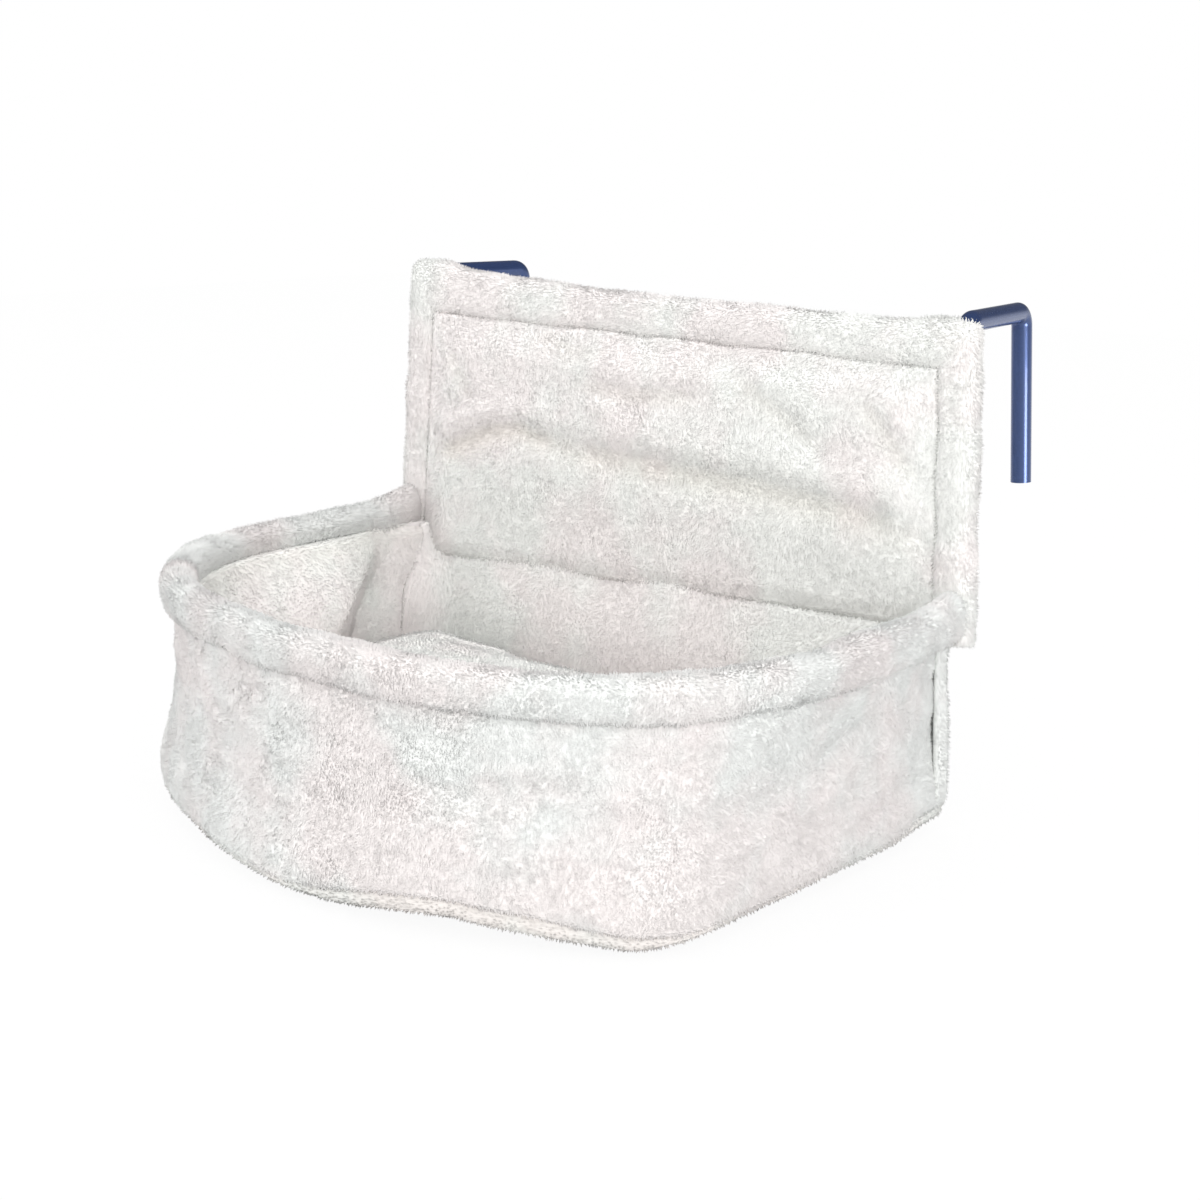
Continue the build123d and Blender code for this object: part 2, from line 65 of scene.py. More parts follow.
hoop_low, hoop_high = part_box("front_hoop_tube")
bar_low, bar_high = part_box("crossbar_tube")
base_low, base_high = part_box("base_plush")
sleeve_low, sleeve_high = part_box("panel_sleeve")
TUBE_RADIUS = (hoop_high.z - hoop_low.z) / 2
HOOP_Z = (hoop_high.z + hoop_low.z) / 2
BAR_Z = (bar_high.z + bar_low.z) / 2
PANEL_Y = (bar_high.y + bar_low.y) / 2
HOOP_HALF = hoop_high.x - TUBE_RADIUS
HOOP_DEPTH = PANEL_Y - hoop_low.y - TUBE_RADIUS
FLOOR_HALF = base_high.x
FLOOR_DEPTH = PANEL_Y - base_low.y
print("hoop half width and depth", round(HOOP_HALF, 4), round(HOOP_DEPTH, 4))

# %% [markdown]
# ## Helpers for soft forms
# Each soft piece is a stack of closed rings of points. A ring can go round a roll of cloth,
# round the thin section of a wall, or round the whole outline of a pad. One function joins
# the rings with quads, closes both ends and turns the faces outwards. A box could be cut up and
# pulled into shape instead, but with rings each point's place on the cloth is known, so that
# seams, folds and pile go exactly where they belong.

# %% Points and values of a mesh
def store_values(mesh, **values):
    """Stores one number per point for each named value."""
    for key, numbers in values.items():
        layer = mesh.attributes.new(key, "FLOAT", "POINT")
        layer.data.foreach_set("value", np.ascontiguousarray(numbers, np.float32).ravel())


def points_of(mesh):
    """Gives a mesh's points as rows of three numbers."""
    place = np.empty(len(mesh.vertices) * 3)
    mesh.vertices.foreach_get("co", place)
    return place.reshape(-1, 3)


# %% Join rings to a closed mesh
def ring_mesh(name, rings, **values):
    """Makes a closed mesh from rings of points, with one number per point for each named value."""
    count, around = rings.shape[:2]
    index = np.arange(count * around).reshape(count, around)
    ahead = np.roll(index, -1, axis=1)
    quads = np.stack([index[:-1], ahead[:-1], ahead[1:], index[1:]], axis=-1).reshape(-1, 4)
    faces = quads.tolist() + [index[0][::-1].tolist(), index[-1].tolist()]
    points = rings.reshape(-1, 3)
    corner = points[quads]
    volume = np.cross(corner[:, 1] - corner[:, 0], corner[:, 3] - corner[:, 0])
    along, side = np.meshgrid(np.arange(count - 1), np.arange(around), indexing="ij")
    run = np.stack([along, along, along + 1, along + 1], axis=-1) / (count - 1)
    turn = np.stack([side, side + 1, side + 1, side], axis=-1) / around
    cloth_map = np.stack([run, turn], axis=-1).reshape(-1, 4, 2)
    if (corner.mean(axis=1) * volume).sum() - (points.mean(axis=0) * volume.sum(axis=0)).sum() < 0:
        faces = [face[::-1] for face in faces]
        cloth_map = cloth_map[:, ::-1]
    mesh = bpy.data.meshes.new(name)
    mesh.from_pydata(points.tolist(), [], faces)
    mesh.update()
    mesh.shade_smooth()
    store_values(mesh, **values)
    flat_map = np.vstack([cloth_map.reshape(-1, 2), np.zeros((2 * around, 2))])
    mesh.uv_layers.new(name="cloth").data.foreach_set("uv", flat_map.ravel())
    piece = bpy.data.objects.new(name, mesh)
    length = np.linalg.norm(np.diff(rings, axis=0), axis=-1).sum(axis=0).mean()
    girth = np.linalg.norm(rings - np.roll(rings, 1, axis=1), axis=-1).sum(axis=1).mean()
    piece["cloth_size"] = (float(length), float(girth))
    bpy.context.scene.collection.objects.link(piece)
    print(name, len(mesh.vertices), "points")
    return piece


def cloth_mesh(name, shown, behind=None, fold=0.0):
    """Makes a cloth from rings of shown points, which grow pile, and of hidden points behind, which don't."""
    rings = shown if behind is None else np.concatenate([shown, behind], axis=1)
    # The value named fold is painted shade: how much cream the creases and the rim's lining get.
    has_pile, painted_shade_share = np.zeros(rings.shape[:2]), np.zeros(rings.shape[:2])
    has_pile[:, : shown.shape[1]] = 1
    painted_shade_share[:, : shown.shape[1]] = fold
    return ring_mesh(name, rings, pile=has_pile, fold=painted_shade_share)


# %% [markdown]
# ## Noise and folds
# Cloth is never quite even. Smooth noise with lumps of a chosen size gives its slow waves,
# and a fold is a valley along a line of points, with a soft lip on one side of it. Sculpting
# by hand could do this too, but a function can be measured, changed and used again.

# %% Noise and folds as functions of place
def smooth_step(share):
    """Turns a share into one that starts and ends softly, and stays from 0 to 1."""
    share = np.clip(share, 0, 1)
    return share * share * (3 - 2 * share)


def soft_noise(points, size, seed=0):
    """Gives smooth noise from -1 to 1 at each point, with lumps of the given size along each axis."""
    place = points / np.asarray(size) + seed * 7.31
    cell = np.floor(place)
    share = smooth_step(place - cell)
    total = 0
    for corner in np.ndindex(2, 2, 2):
        spot = cell + corner
        wave = np.sin(spot @ (12.9898, 78.233, 37.719) + seed) * 4375.85453
        weight = np.where(corner, share, 1 - share).prod(axis=-1)
        total = total + weight * (2 * (wave - np.floor(wave)) - 1)
    return total


def waves(places, *terms):
    """Sums soft noises, each given as its height and its lump size in mm and its seed."""
    return sum(height * MM * soft_noise(places, size * MM, seed) for height, size, seed in terms)


# %% A fold along a line of points
def along_line(places, line):
    """Gives each place's signed distance from a line of points in a plane, and how far along it lies."""
    line = np.asarray(line, float)
    best = np.full(places.shape[:-1], np.inf)
    side, along = np.zeros_like(best), np.zeros_like(best)
    for step, (start, end) in enumerate(zip(line[:-1], line[1:])):
        run = end - start
        share = np.clip(((places - start) @ run) / (run @ run), 0, 1)
        gap = places - start - share[..., None] * run
        far = np.hypot(gap[..., 0], gap[..., 1])
        near = far < best
        turn = run[0] * gap[..., 1] - run[1] * gap[..., 0]
        best = np.where(near, far, best)
        side = np.where(near, np.where(turn < 0, -1.0, 1.0), side)
        along = np.where(near, (step + share) / (len(line) - 1), along)
    return best * side, along


def fold(places, line, width, depth, lip=0.5):
    """Gives the height of a fold: a valley on its line, a soft lip on its left side, faded at both ends."""
    gap, along = along_line(places, line)
    ends = smooth_step(np.minimum(along, 1 - along) * 6)
    valley = -np.exp(-(gap / width) ** 2)
    ridge = lip * np.exp(-((gap - 1.6 * width) / (1.2 * width)) ** 2)
    return depth * (valley + ridge) * (0.25 + 0.75 * ends)


# %% [markdown]
# ## The outline of the basket
# From above the basket is a D: straight sides, two round corners and a gently bowed front.
# The same few sizes shape the steel hoop at the rim and the smaller corners at the floor. A
# drawn curve would do for one height, but the wall needs this line at many heights.

# %% Sizes of the D, and points spread evenly
HOOP_LEG = 140 * MM
HOOP_CORNER = 150.1 * MM
FLOOR_SIDE = 215 * MM
FLOOR_TAPER = math.radians(4)
FLOOR_CORNER = 60 * MM


def evenly(points, count):
    """Spreads a line's points evenly along its length."""
    steps = np.linalg.norm(np.diff(points, axis=0), axis=1)
    reach = np.concatenate([[0], np.cumsum(steps)])
    wanted = np.linspace(0, reach[-1], count)
    return np.stack([np.interp(wanted, reach, points[:, k]) for k in range(points.shape[1])], axis=1)


# %% Points along a D
def d_path(half_width, side, taper, corner, depth, start, count):
    """Gives points from the left rear end of a D round its front to the right rear end."""
    end = np.array([half_width - side * math.sin(taper), side * math.cos(taper)])
    centre = end - corner * np.array([math.cos(taper), math.sin(taper)])
    room = depth - centre[1]
    front = (centre[0] ** 2 + room ** 2 - corner ** 2) / (2 * (room - corner))
    bow = math.pi / 2 - math.asin(centre[0] / (front - corner))
    turns = np.linspace(taper, bow, 80)[:, None]
    round_part = centre + corner * np.hstack([np.cos(turns), np.sin(turns)])
    sweep = np.linspace(bow, math.pi / 2, 80)[1:, None]
    front_part = np.array([0, depth - front]) + front * np.hstack([np.cos(sweep), np.sin(sweep)])
    first = np.array([[half_width - start * math.tan(taper), start]])
    right = np.vstack([first, round_part, front_part])
    left = right[::-1] * (-1, 1)
    whole = np.vstack([right, left[1:]])[::-1]
    return evenly(whole * (1, -1) + (0, PANEL_Y), count)


def outward(path):
    """Gives the level unit vectors that point out of a D at each of its points."""
    run = np.gradient(path, axis=0)
    run /= np.linalg.norm(run, axis=1)[:, None]
    return np.stack([run[:, 1], -run[:, 0]], axis=1)


# %% Rounded corners and rings at a height
def rounded(points, radius, steps=8):
    """Rounds the inner corners of a line of points."""
    made = [points[0]]
    for before, corner, after in zip(points, points[1:-1], points[2:]):
        before, corner, after = (np.array(p, float) for p in (before, corner, after))
        start = corner + (before - corner) / np.linalg.norm(before - corner) * radius
        end = corner + (after - corner) / np.linalg.norm(after - corner) * radius
        for share in np.linspace(0, 1, steps):
            made.append(start * (1 - share) ** 2 + corner * 2 * share * (1 - share) + end * share ** 2)
    made.append(points[-1])
    return np.array(made, float)


def raised(line, height=0.0):
    """Sets a flat line of points at one height."""
    return np.column_stack([line, np.full(len(line), height)])


def shrunk(outline, middle, share, height):
    """Draws an outline in towards its middle and sets it at one height."""
    return raised(middle + (outline - middle) * share, height)


def boxed(values, power):
    """Bends a sine or a cosine, to make a round section more or less boxy."""
    return np.sign(values) * np.abs(values) ** power


# %% The two outlines, at the hoop and at the floor
def hoop_path(start, count):
    return d_path(HOOP_HALF, HOOP_LEG, 0, HOOP_CORNER, HOOP_DEPTH, start, count)


def floor_path(start, count):
    return d_path(FLOOR_HALF, FLOOR_SIDE, FLOOR_TAPER, FLOOR_CORNER, FLOOR_DEPTH, start, count)


for name, path in (("hoop", hoop_path(0, 500)), ("floor", floor_path(0, 500))):
    print(name, "outline is", round(float(np.linalg.norm(np.diff(path, axis=0), axis=1).sum()), 3), "m long")


# %% [markdown]
# ## Adding nodes
# The world, the materials and the pile are all trees of nodes. One function adds a node and
# fills its inputs, each with a plain value or with a link from a node made before it. Named
# inputs make a long tree read like a list of steps.

# %% Add a node and fill its inputs
def fill_inputs(tree, node, inputs):
    for key, value in dict(inputs).items():
        if isinstance(value, bpy.types.NodeSocket):
            tree.links.new(value, node.inputs[key])
        else:
            node.inputs[key].default_value = value
    return node


def add_node(tree, kind, inputs=(), **settings):
    """Adds a node, makes its settings and then fills its inputs."""
    node = tree.nodes.new(kind)
    for key, value in settings.items():
        setattr(node, key, value)
    return fill_inputs(tree, node, inputs)


def new_material(name):
    """Makes a material and gives its tree and its Principled node."""
    material = bpy.data.materials.new(name)
    material.use_nodes = True
    return material, material.node_tree, material.node_tree.nodes["Principled BSDF"]


# %% [markdown]
# ## Camera
# The photo was taken from the right and a little above. The view could be set by eye, but then
# no seam would lie where the photo has it, so its numbers come from a fit to outline and seams.

# %% Camera
CAMERA_TURN = math.radians(38.6)
CAMERA_RISE = math.radians(14.6)
CAMERA_ROLL = math.radians(1.5)
CAMERA_DISTANCE = 1039.8 * MM
CAMERA_TARGET = Vector((32.5, 13.5, 120.6)) * MM
SENSOR = 36.0
FOCAL_SHARE = 1780.7 / 1200

camera_data = bpy.data.cameras.new("camera")
camera_data.sensor_width = SENSOR
camera_data.lens = SENSOR * FOCAL_SHARE
camera = bpy.data.objects.new("camera", camera_data)
bpy.context.scene.collection.objects.link(camera)
away = Vector((
    math.sin(CAMERA_TURN) * math.cos(CAMERA_RISE),
    -math.cos(CAMERA_TURN) * math.cos(CAMERA_RISE),
    math.sin(CAMERA_RISE),
))
camera.location = CAMERA_TARGET + away * CAMERA_DISTANCE
aim = away.to_track_quat("Z", "Y").to_matrix().to_4x4()
camera.rotation_euler = (aim @ Matrix.Rotation(CAMERA_ROLL, 4, "Z")).to_euler()
bpy.context.scene.camera = camera
print("camera at", [round(v, 3) for v in camera.location])


# %% [markdown]
# ## Light
# The photo has soft light from all sides and hardly a shadow. Small lamps would give the plush
# hard edges, so large, weak lamps add a little shape to the light of a bright world. One narrow
# lamp is seen only in the steel, as the pale stripe on the right hook.

# %% Lamps
def area_light(name, place, size, power):
    data = bpy.data.lights.new(name, "AREA")
    data.energy = power
    data.size = size
    lamp = bpy.data.objects.new(name, data)
    bpy.context.scene.collection.objects.link(lamp)
    lamp.location = place
    middle = Vector((0, 0, HOOP_Z))
    lamp.rotation_euler = (middle - Vector(place)).to_track_quat("-Z", "Y").to_euler()
    return lamp


area_light("top_light", (0.3, -0.9, 2.2), 1.8, 4.5)
area_light("front_light", (1.3, -1.65, 1.5), 1.6, 8)
area_light("left_light", (-1.1, -1.9, 1.6), 1.4, 9)
area_light("right_light", (1.8, -0.6, 0.8), 1.4, 6)
strip_light = area_light("strip_light", (0.70, 0.09, 0.14), 0.24, 2.2)
strip_light.visible_camera = strip_light.visible_diffuse = False

# %% World
scene = bpy.context.scene
scene.view_settings.view_transform = "Standard"
world = bpy.data.worlds.new("studio")
scene.world = world
world.use_nodes = True
WORLD_LEVEL = 1.04
CEILING_LEVEL = 0.12
CEILING_FOOT, CEILING_HEAD = -0.05, 0.2
sky = world.node_tree


def seen_directly(tree):
    """Gives a socket that is 1 for the camera, for reflections and through glass."""
    path = add_node(tree, "ShaderNodeLightPath").outputs
    seen = path["Is Camera Ray"]
    for ray in ("Is Glossy Ray", "Is Transmission Ray"):
        seen = add_node(tree, "ShaderNodeMath", {0: seen, 1: path[ray]}, operation="MAXIMUM").outputs[0]
    return seen


direction = add_node(sky, "ShaderNodeTexCoord").outputs["Generated"]
height = add_node(sky, "ShaderNodeSeparateXYZ", {0: direction}).outputs["Z"]
ceiling = add_node(sky, "ShaderNodeMapRange", {
    "Value": height,
    "From Min": CEILING_FOOT,
    "From Max": CEILING_HEAD,
    "To Min": 1.0,
    "To Max": CEILING_LEVEL,
})
rays = add_node(sky, "ShaderNodeLightPath").outputs
level = WORLD_LEVEL
for ray, seen_level in (
    ("Is Glossy Ray", ceiling.outputs[0]),
    ("Is Transmission Ray", 1.0),
    ("Is Camera Ray", 1.0),
):
    choice = add_node(sky, "ShaderNodeMix", {"Factor": rays[ray], "A": level, "B": seen_level})
    level = choice.outputs["Result"]
fill_inputs(sky, sky.nodes["Background"], {"Color": (1, 1, 1, 1), "Strength": level})

# %% [markdown]
# ## Floor
# The bed is shown on pure white, with a faint shadow. A plain white floor would turn grey away
# from the lamps, so this one glows white for the camera and mixes in a little real shading.

# %% Floor
FLOOR_SIZE = 6.0
FLOOR_DROP = 6 * MM
bpy.ops.mesh.primitive_plane_add(size=FLOOR_SIZE, location=(0, 0, cad_box[0][2] - FLOOR_DROP))
floor = bpy.context.object
floor.name = "studio_floor"
SHADOW_SHARE = 0.93
floor_material, floor_tree, floor_shader = new_material("pale_floor")
fill_inputs(floor_tree, floor_shader, {"Base Color": (0.92, 0.92, 0.92, 1), "Roughness": 1.0})
white = add_node(floor_tree, "ShaderNodeEmission", {"Strength": 1.0})
seen = seen_directly(floor_tree)
weight = add_node(floor_tree, "ShaderNodeMath", {0: seen, 1: SHADOW_SHARE}, operation="MULTIPLY")
shown_floor = add_node(floor_tree, "ShaderNodeMixShader", {
    0: weight.outputs[0],
    1: floor_shader.outputs[0],
    2: white.outputs[0],
})
fill_inputs(floor_tree, floor_tree.nodes["Material Output"], {"Surface": shown_floor.outputs[0]})
floor.data.materials.append(floor_material)


# %% [markdown]
# ## Plush
# Short plush looks white, but up close it drifts between a cool white and a faint pink. The pile
# lies in small patches that catch the light differently, painted here as slightly lighter and
# darker patches, and a cream painted shade darkens its creases and the lining under the rim. One
# even colour would look like plaster. All of these go in one group, so that the cloth and its
# tufts share them.

# %% Inputs of a group
def group_sockets(tree, sockets):
    """Adds a tree's inputs, each as a name, a kind of socket and, where it has one, a usual value."""
    for name, kind, *usual in sockets:
        socket = tree.interface.new_socket(name=name, in_out="INPUT", socket_type="NodeSocket" + kind)
        if usual:
            socket.default_value = usual[0]


# %% Plush tone group
def make_plush_tone():
    tree = bpy.data.node_groups.new("plush_tone", "ShaderNodeTree")
    group_sockets(tree, (
        ("Cool", "Color"),
        ("Warm", "Color"),
        ("Fold", "Color"),
        ("Patch Size", "Float", 14.0),
        ("Nap Size", "Float", 130.0),
    ))
    for name, kind in (("Color", "Color"), ("Roughness", "Float"), ("Height", "Float")):
        tree.interface.new_socket(name=name, in_out="OUTPUT", socket_type="NodeSocket" + kind)
    given = add_node(tree, "NodeGroupInput").outputs
    place = add_node(tree, "ShaderNodeTexCoord").outputs["Object"]

    def noise(size, **inputs):
        inputs |= {"Vector": place, "Scale": given[size]}
        return add_node(tree, "ShaderNodeTexNoise", inputs).outputs["Fac"]

    def map_range(value, low, high, to_low, to_high):
        return add_node(tree, "ShaderNodeMapRange", {
            "Value": value, "From Min": low, "From Max": high, "To Min": to_low, "To Max": to_high,
        }).outputs[0]

    def mix(share, first, second, blend="MIX"):
        return add_node(tree, "ShaderNodeMix", {
            "Factor": share, "A": first, "B": second,
        }, data_type="RGBA", blend_type=blend).outputs["Result"]

    patch = map_range(noise("Patch Size", Detail=3.0), 0.42, 0.58, 0.0, 1.0)
    nap = noise("Nap Size", Detail=4.0, Roughness=0.7)
    colour = mix(patch, given["Cool"], given["Warm"])
    colour = mix(1.0, colour, map_range(nap, 0.25, 0.75, 0.975, 1.02), "MULTIPLY")
    # The value named fold gives the cream painted shade in creases and under the rim.
    depth = add_node(tree, "ShaderNodeAttribute", attribute_name="fold").outputs["Fac"]
    add_node(tree, "NodeGroupOutput", {
        "Color": mix(depth, colour, given["Fold"]),
        "Roughness": map_range(nap, 0.0, 1.0, 0.75, 1.0),
        "Height": nap,
    })
    return tree


plush_tone = make_plush_tone()


# %% The four plush materials
def plush_material(name, cool, warm, painted_shade_colour, bump=0.2):
    material, tree, shader = new_material(name)
    tone = add_node(tree, "ShaderNodeGroup", {
        "Cool": (*cool, 1), "Warm": (*warm, 1), "Fold": (*painted_shade_colour, 1),
    }, node_tree=plush_tone).outputs
    relief = {"Strength": bump, "Distance": 1 * MM, "Height": tone["Height"]}
    fill_inputs(tree, shader, {
        "Normal": add_node(tree, "ShaderNodeBump", relief).outputs["Normal"],
        "Base Color": tone["Color"],
        "Roughness": tone["Roughness"],
        "Specular IOR Level": 0.2,
        "Sheen Weight": 0.25,
        "Sheen Roughness": 0.6,
    })
    return material


# The third colour of each plush is its cream painted shade, for creases and under the rim.
outer_plush = plush_material("outer_plush", (0.87, 0.885, 0.865), (0.895, 0.85, 0.835), (0.84, 0.81, 0.74))
# The inner plush is made lighter than the outer: painted light for the shaded inside and border.
inner_plush_painted_light = plush_material("inner_plush_painted_light", (0.955, 0.965, 0.935), (0.97, 0.925, 0.91), (0.94, 0.88, 0.77))
# The base plush is darker: painted shade for the foot and underside, which face down.
base_plush = plush_material("base_plush", (0.76, 0.77, 0.74), (0.80, 0.76, 0.73), (0.60, 0.57, 0.50))
under_cloth = plush_material("under_cloth", (0.70, 0.70, 0.68), (0.74, 0.72, 0.69), (0.60, 0.57, 0.50), 0.6)


# %% [markdown]
# ## Growing the pile
# A tuft is a slim three-sided spike. Geometry nodes scatter tufts on a cloth at an even
# spacing, lean them with the nap and turn them a little at random. Hair would look finer, but
# it is no mesh and would be lost when the bed is exported. The value named pile says where the
# cloth has tufts at all, so that hidden faces stay bare.

# %% Geometry nodes that grow the pile
OWN_NORMAL_SHARE = 0.08
SWIRL_STRENGTH = 2.0


def make_pile_tree():
    tree = bpy.data.node_groups.new("plush_pile", "GeometryNodeTree")
    group_sockets(tree, (
        ("Geometry", "Geometry"),
        ("Spacing", "Float"),
        ("Length", "Float"),
        ("Width", "Float"),
        ("Nap", "Vector"),
        ("Scatter", "Float", 0.25),
        ("Swirl Size", "Float", 38.0),
        ("Clump Size", "Float", 210.0),
        ("Map Step", "Vector"),
        ("Seed", "Int"),
        ("Material", "Material"),
    ))
    tree.interface.new_socket(name="Geometry", in_out="OUTPUT", socket_type="NodeSocketGeometry")
    given = add_node(tree, "NodeGroupInput").outputs

    def step(kind, inputs=(), **settings):
        return add_node(tree, kind, inputs, **settings).outputs[0]

    def vector_math(operation, first, second):
        return step("ShaderNodeVectorMath", {0: first, 1: second}, operation=operation)

    def scaled(vector, factor):
        return step("ShaderNodeVectorMath", {0: vector, "Scale": factor}, operation="SCALE")

    def noise(size, detail):
        return add_node(tree, "ShaderNodeTexNoise", {"Scale": given[size], "Detail": detail}).outputs

    def read(name, kind="FLOAT_VECTOR"):
        return step("GeometryNodeInputNamedAttribute", {"Name": name}, data_type=kind)

    def store(geometry, name, value, kind="FLOAT2", domain="CORNER"):
        inputs = {"Geometry": geometry, "Name": name, "Value": value}
        return step("GeometryNodeStoreNamedAttribute", inputs, data_type=kind, domain=domain)

    density = step("ShaderNodeMath", {0: given["Spacing"], 1: -2.0}, operation="POWER")
    roots = add_node(tree, "GeometryNodeDistributePointsOnFaces", {
        "Mesh": given["Geometry"],
        "Distance Min": given["Spacing"],
        "Density Max": density,
        "Density Factor": read("pile", "FLOAT"),
        "Seed": given["Seed"],
    }, distribute_method="POISSON").outputs
    points = store(roots["Points"], "cloth_normal", roots["Normal"], "FLOAT_VECTOR", "POINT")

    swirl = vector_math("SUBTRACT", noise("Swirl Size", 2.0)["Color"], (0.5, 0.5, 0.5))
    chance = step("FunctionNodeRandomValue", {
        0: (-1, -1, -1), 1: (1, 1, 1), "Seed": given["Seed"],
    }, data_type="FLOAT_VECTOR")
    lean = roots["Normal"]
    for push in (given["Nap"], scaled(swirl, SWIRL_STRENGTH), scaled(chance, given["Scatter"])):
        lean = vector_math("ADD", lean, push)
    turn = step("FunctionNodeAlignRotationToVector", {"Vector": lean}, axis="Z")

    cone = add_node(tree, "GeometryNodeMeshCone", {
        "Vertices": 3, "Radius Top": 0.0, "Radius Bottom": 0.5, "Depth": 1.0,
    }).outputs
    tuft = store(cone["Mesh"], "tuft", cone["UV Map"])
    clump = step("ShaderNodeMapRange", {
        "Value": noise("Clump Size", 1.0)["Fac"],
        "From Min": 0.3,
        "From Max": 0.7,
        "To Min": 0.8,
        "To Max": 1.2,
    })
    tall = step("ShaderNodeMath", {0: clump, 1: given["Length"]}, operation="MULTIPLY")
    size = step("ShaderNodeCombineXYZ", {"X": given["Width"], "Y": given["Width"], "Z": tall})
    change = add_node(tree, "FunctionNodeRandomValue", {2: 0.8, 3: 1.15}).outputs[1]
    pile = step("GeometryNodeInstanceOnPoints", {
        "Points": points, "Instance": tuft, "Rotation": turn, "Scale": scaled(size, change),
    })
    pile = step("GeometryNodeSetShadeSmooth", {0: step("GeometryNodeRealizeInstances", {0: pile})})

    own_share = scaled(step("GeometryNodeInputNormal"), OWN_NORMAL_SHARE)
    pile = step("GeometryNodeSetMeshNormal", {
        "Mesh": pile, "Custom Normal": vector_math("ADD", read("cloth_normal"), own_share),
    }, mode="FREE")
    own_place = vector_math("MULTIPLY", read("tuft"), given["Map Step"])
    pile = store(pile, "OFBake", vector_math("ADD", read("cloth"), own_place))
    for name in ("cloth_normal", "cloth", "tuft"):
        pile = step("GeometryNodeRemoveAttribute", {"Geometry": pile, "Name": name})
    pile = step("GeometryNodeSetMaterial", {"Geometry": pile, "Material": given["Material"]})
    add_node(tree, "NodeGroupOutput", {0: pile})
    return tree


pile_tree = make_pile_tree()


# %% Grow pile on a piece
def grow_pile(piece, material, body, nap=(0, 0, -0.5), spacing=1.25, length=2.1, width=1.5, seed=1):
    """Grows tufts on a cloth, as a piece of their own that rides on the same body. Sizes are in mm."""
    pile = bpy.data.objects.new(piece.name + "_pile", piece.data)
    bpy.context.scene.collection.objects.link(pile)
    modifier = pile.modifiers.new("grow", "NODES")
    modifier.node_group = pile_tree
    values = {
        "Spacing": spacing * MM,
        "Length": length * MM,
        "Width": width * MM,
        "Nap": nap,
        "Seed": seed,
        "Material": material,
        "Map Step": [0.8 * spacing * MM / size for size in piece["cloth_size"]] + [0.0],
    }
    for item in pile_tree.interface.items_tree:
        if item.item_type == "SOCKET" and item.in_out == "INPUT" and item.name in values:
            modifier[item.identifier] = values[item.name]
    graph = bpy.context.evaluated_depsgraph_get()
    tufts = bpy.data.meshes.new_from_object(pile.evaluated_get(graph))
    pile.modifiers.remove(modifier)
    pile.data = tufts
    tufts.name = pile.name
    print(pile.name, len(tufts.polygons), "faces")
    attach(pile, body)
    return pile


# %% Dress a piece
def dress(piece, material, body, nodes):
    """Gives a piece its material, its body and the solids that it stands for."""
    piece.data.materials.append(material)
    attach(piece, body)
    if nodes:
        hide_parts(*nodes)
    return piece


COVER = "frame_and_cover"
PAD = "floor_pad"

# %% [markdown]
# ## Rim band
# A strip of plush is sewn into a roll round the hoop, a little uneven where the seam gathers
# it. A curve with a round bevel would be as even as a pipe, so each ring swells by its own noise.

# %% Rim band
BAND_RADIUS = 12.5 * MM
BAND_OUT, BAND_IN, BAND_UP, BAND_DOWN = 7.4 * MM, 9 * MM, 7.6 * MM, 14 * MM
BAND_END_RISE = 7 * MM
BAND_STEPS, BAND_AROUND = 560, 44
path = hoop_path(-5 * MM, BAND_STEPS)
normal = outward(path)
angle = np.linspace(0, 2 * math.pi, BAND_AROUND, endpoint=False)
centre = raised(path, HOOP_Z)[:, None, :]
level_out = raised(normal)[:, None, :]
boxy = np.where(np.sin(angle) > 0, 1.0, 0.62)
height = np.where(np.sin(angle) > 0, BAND_UP, BAND_DOWN) * np.sin(angle)
reach = np.where(np.cos(angle) > 0, BAND_OUT, BAND_IN)
width = reach * boxed(np.cos(angle), boxy)
upright = height[None, :, None] * np.array([0, 0, 1.0])
spoke = width[None, :, None] * level_out + upright
rough_place = centre + spoke
swell = 1.08 + 0.12 * soft_noise(rough_place, 34 * MM, 3) + 0.09 * soft_noise(rough_place, 13 * MM, 4)
swell = np.maximum(swell, 0.95)
rings = centre + spoke * swell[..., None]
rings[..., 2] += waves(centre, (0.8, 80, 5))
from_panel = (PANEL_Y - path[:, 1])[:, None]
at_end = 1 - smooth_step((from_panel - 6 * MM) / (46 * MM))
rings[..., 2] += BAND_END_RISE * at_end * np.clip(np.sin(angle), 0, 1)[None, :]
band = cloth_mesh("rim_band", rings)
dress(band, outer_plush, COVER, ["rim_sleeve"])
grow_pile(band, outer_plush, COVER, nap=(0.1, 0, -0.25), spacing=1.0, length=2.2, seed=11)

# %% [markdown]
# ## Outer wall
# The wall hangs from the band and is sewn to the base. Its cloth bulges a little over the
# filling, is drawn in at both seams, and has long soft wrinkles that run round the basket.
# A cloth simulation would find wrinkles of its own, but not those of the photo. Here the wall
# goes from the floor's outline to the hoop's, and noise that is stretched sideways wrinkles it.

# %% Sizes of the wall
WALL_PLY = 3.8 * MM
WALL_BACK = 9 * MM
WALL_HEAD_THIN = 4 * MM
WALL_HALF = 6 * MM
WALL_FOOT = 11.5 * MM
FOOT_LINE_X = np.array([-205, -95, -50, 0, 25, 60, 100, 140, 178, 205]) * MM
FOOT_LINE_RISE = np.array([2, 4.5, 1, -2.5, -2, 2.5, 5, 1, -4, 0.5]) * MM
STRIP_HEIGHT = np.array([6, 6, 6, 7.5, 10, 12, 13, 14, 12, 5]) * MM
SIDE_RISE, SIDE_STRIP = 1 * MM, 4 * MM
WALL_HEAD = HOOP_Z - 8.5 * MM
WALL_BULGE = -0.5 * MM
WALL_HOLLOW = 4.5 * MM
WALL_HEAD_IN = 4.5 * MM
REAR_PINCH = 4.5 * MM
REAR_HEAD_PINCH = 9.5 * MM
REAR_REACH = 60 * MM
HEAD_SHARE = 0.8
HEM_FOOT = 0.94
WALL_STEPS, WALL_ROWS, WALL_BACK_ROWS = 560, 56, 5


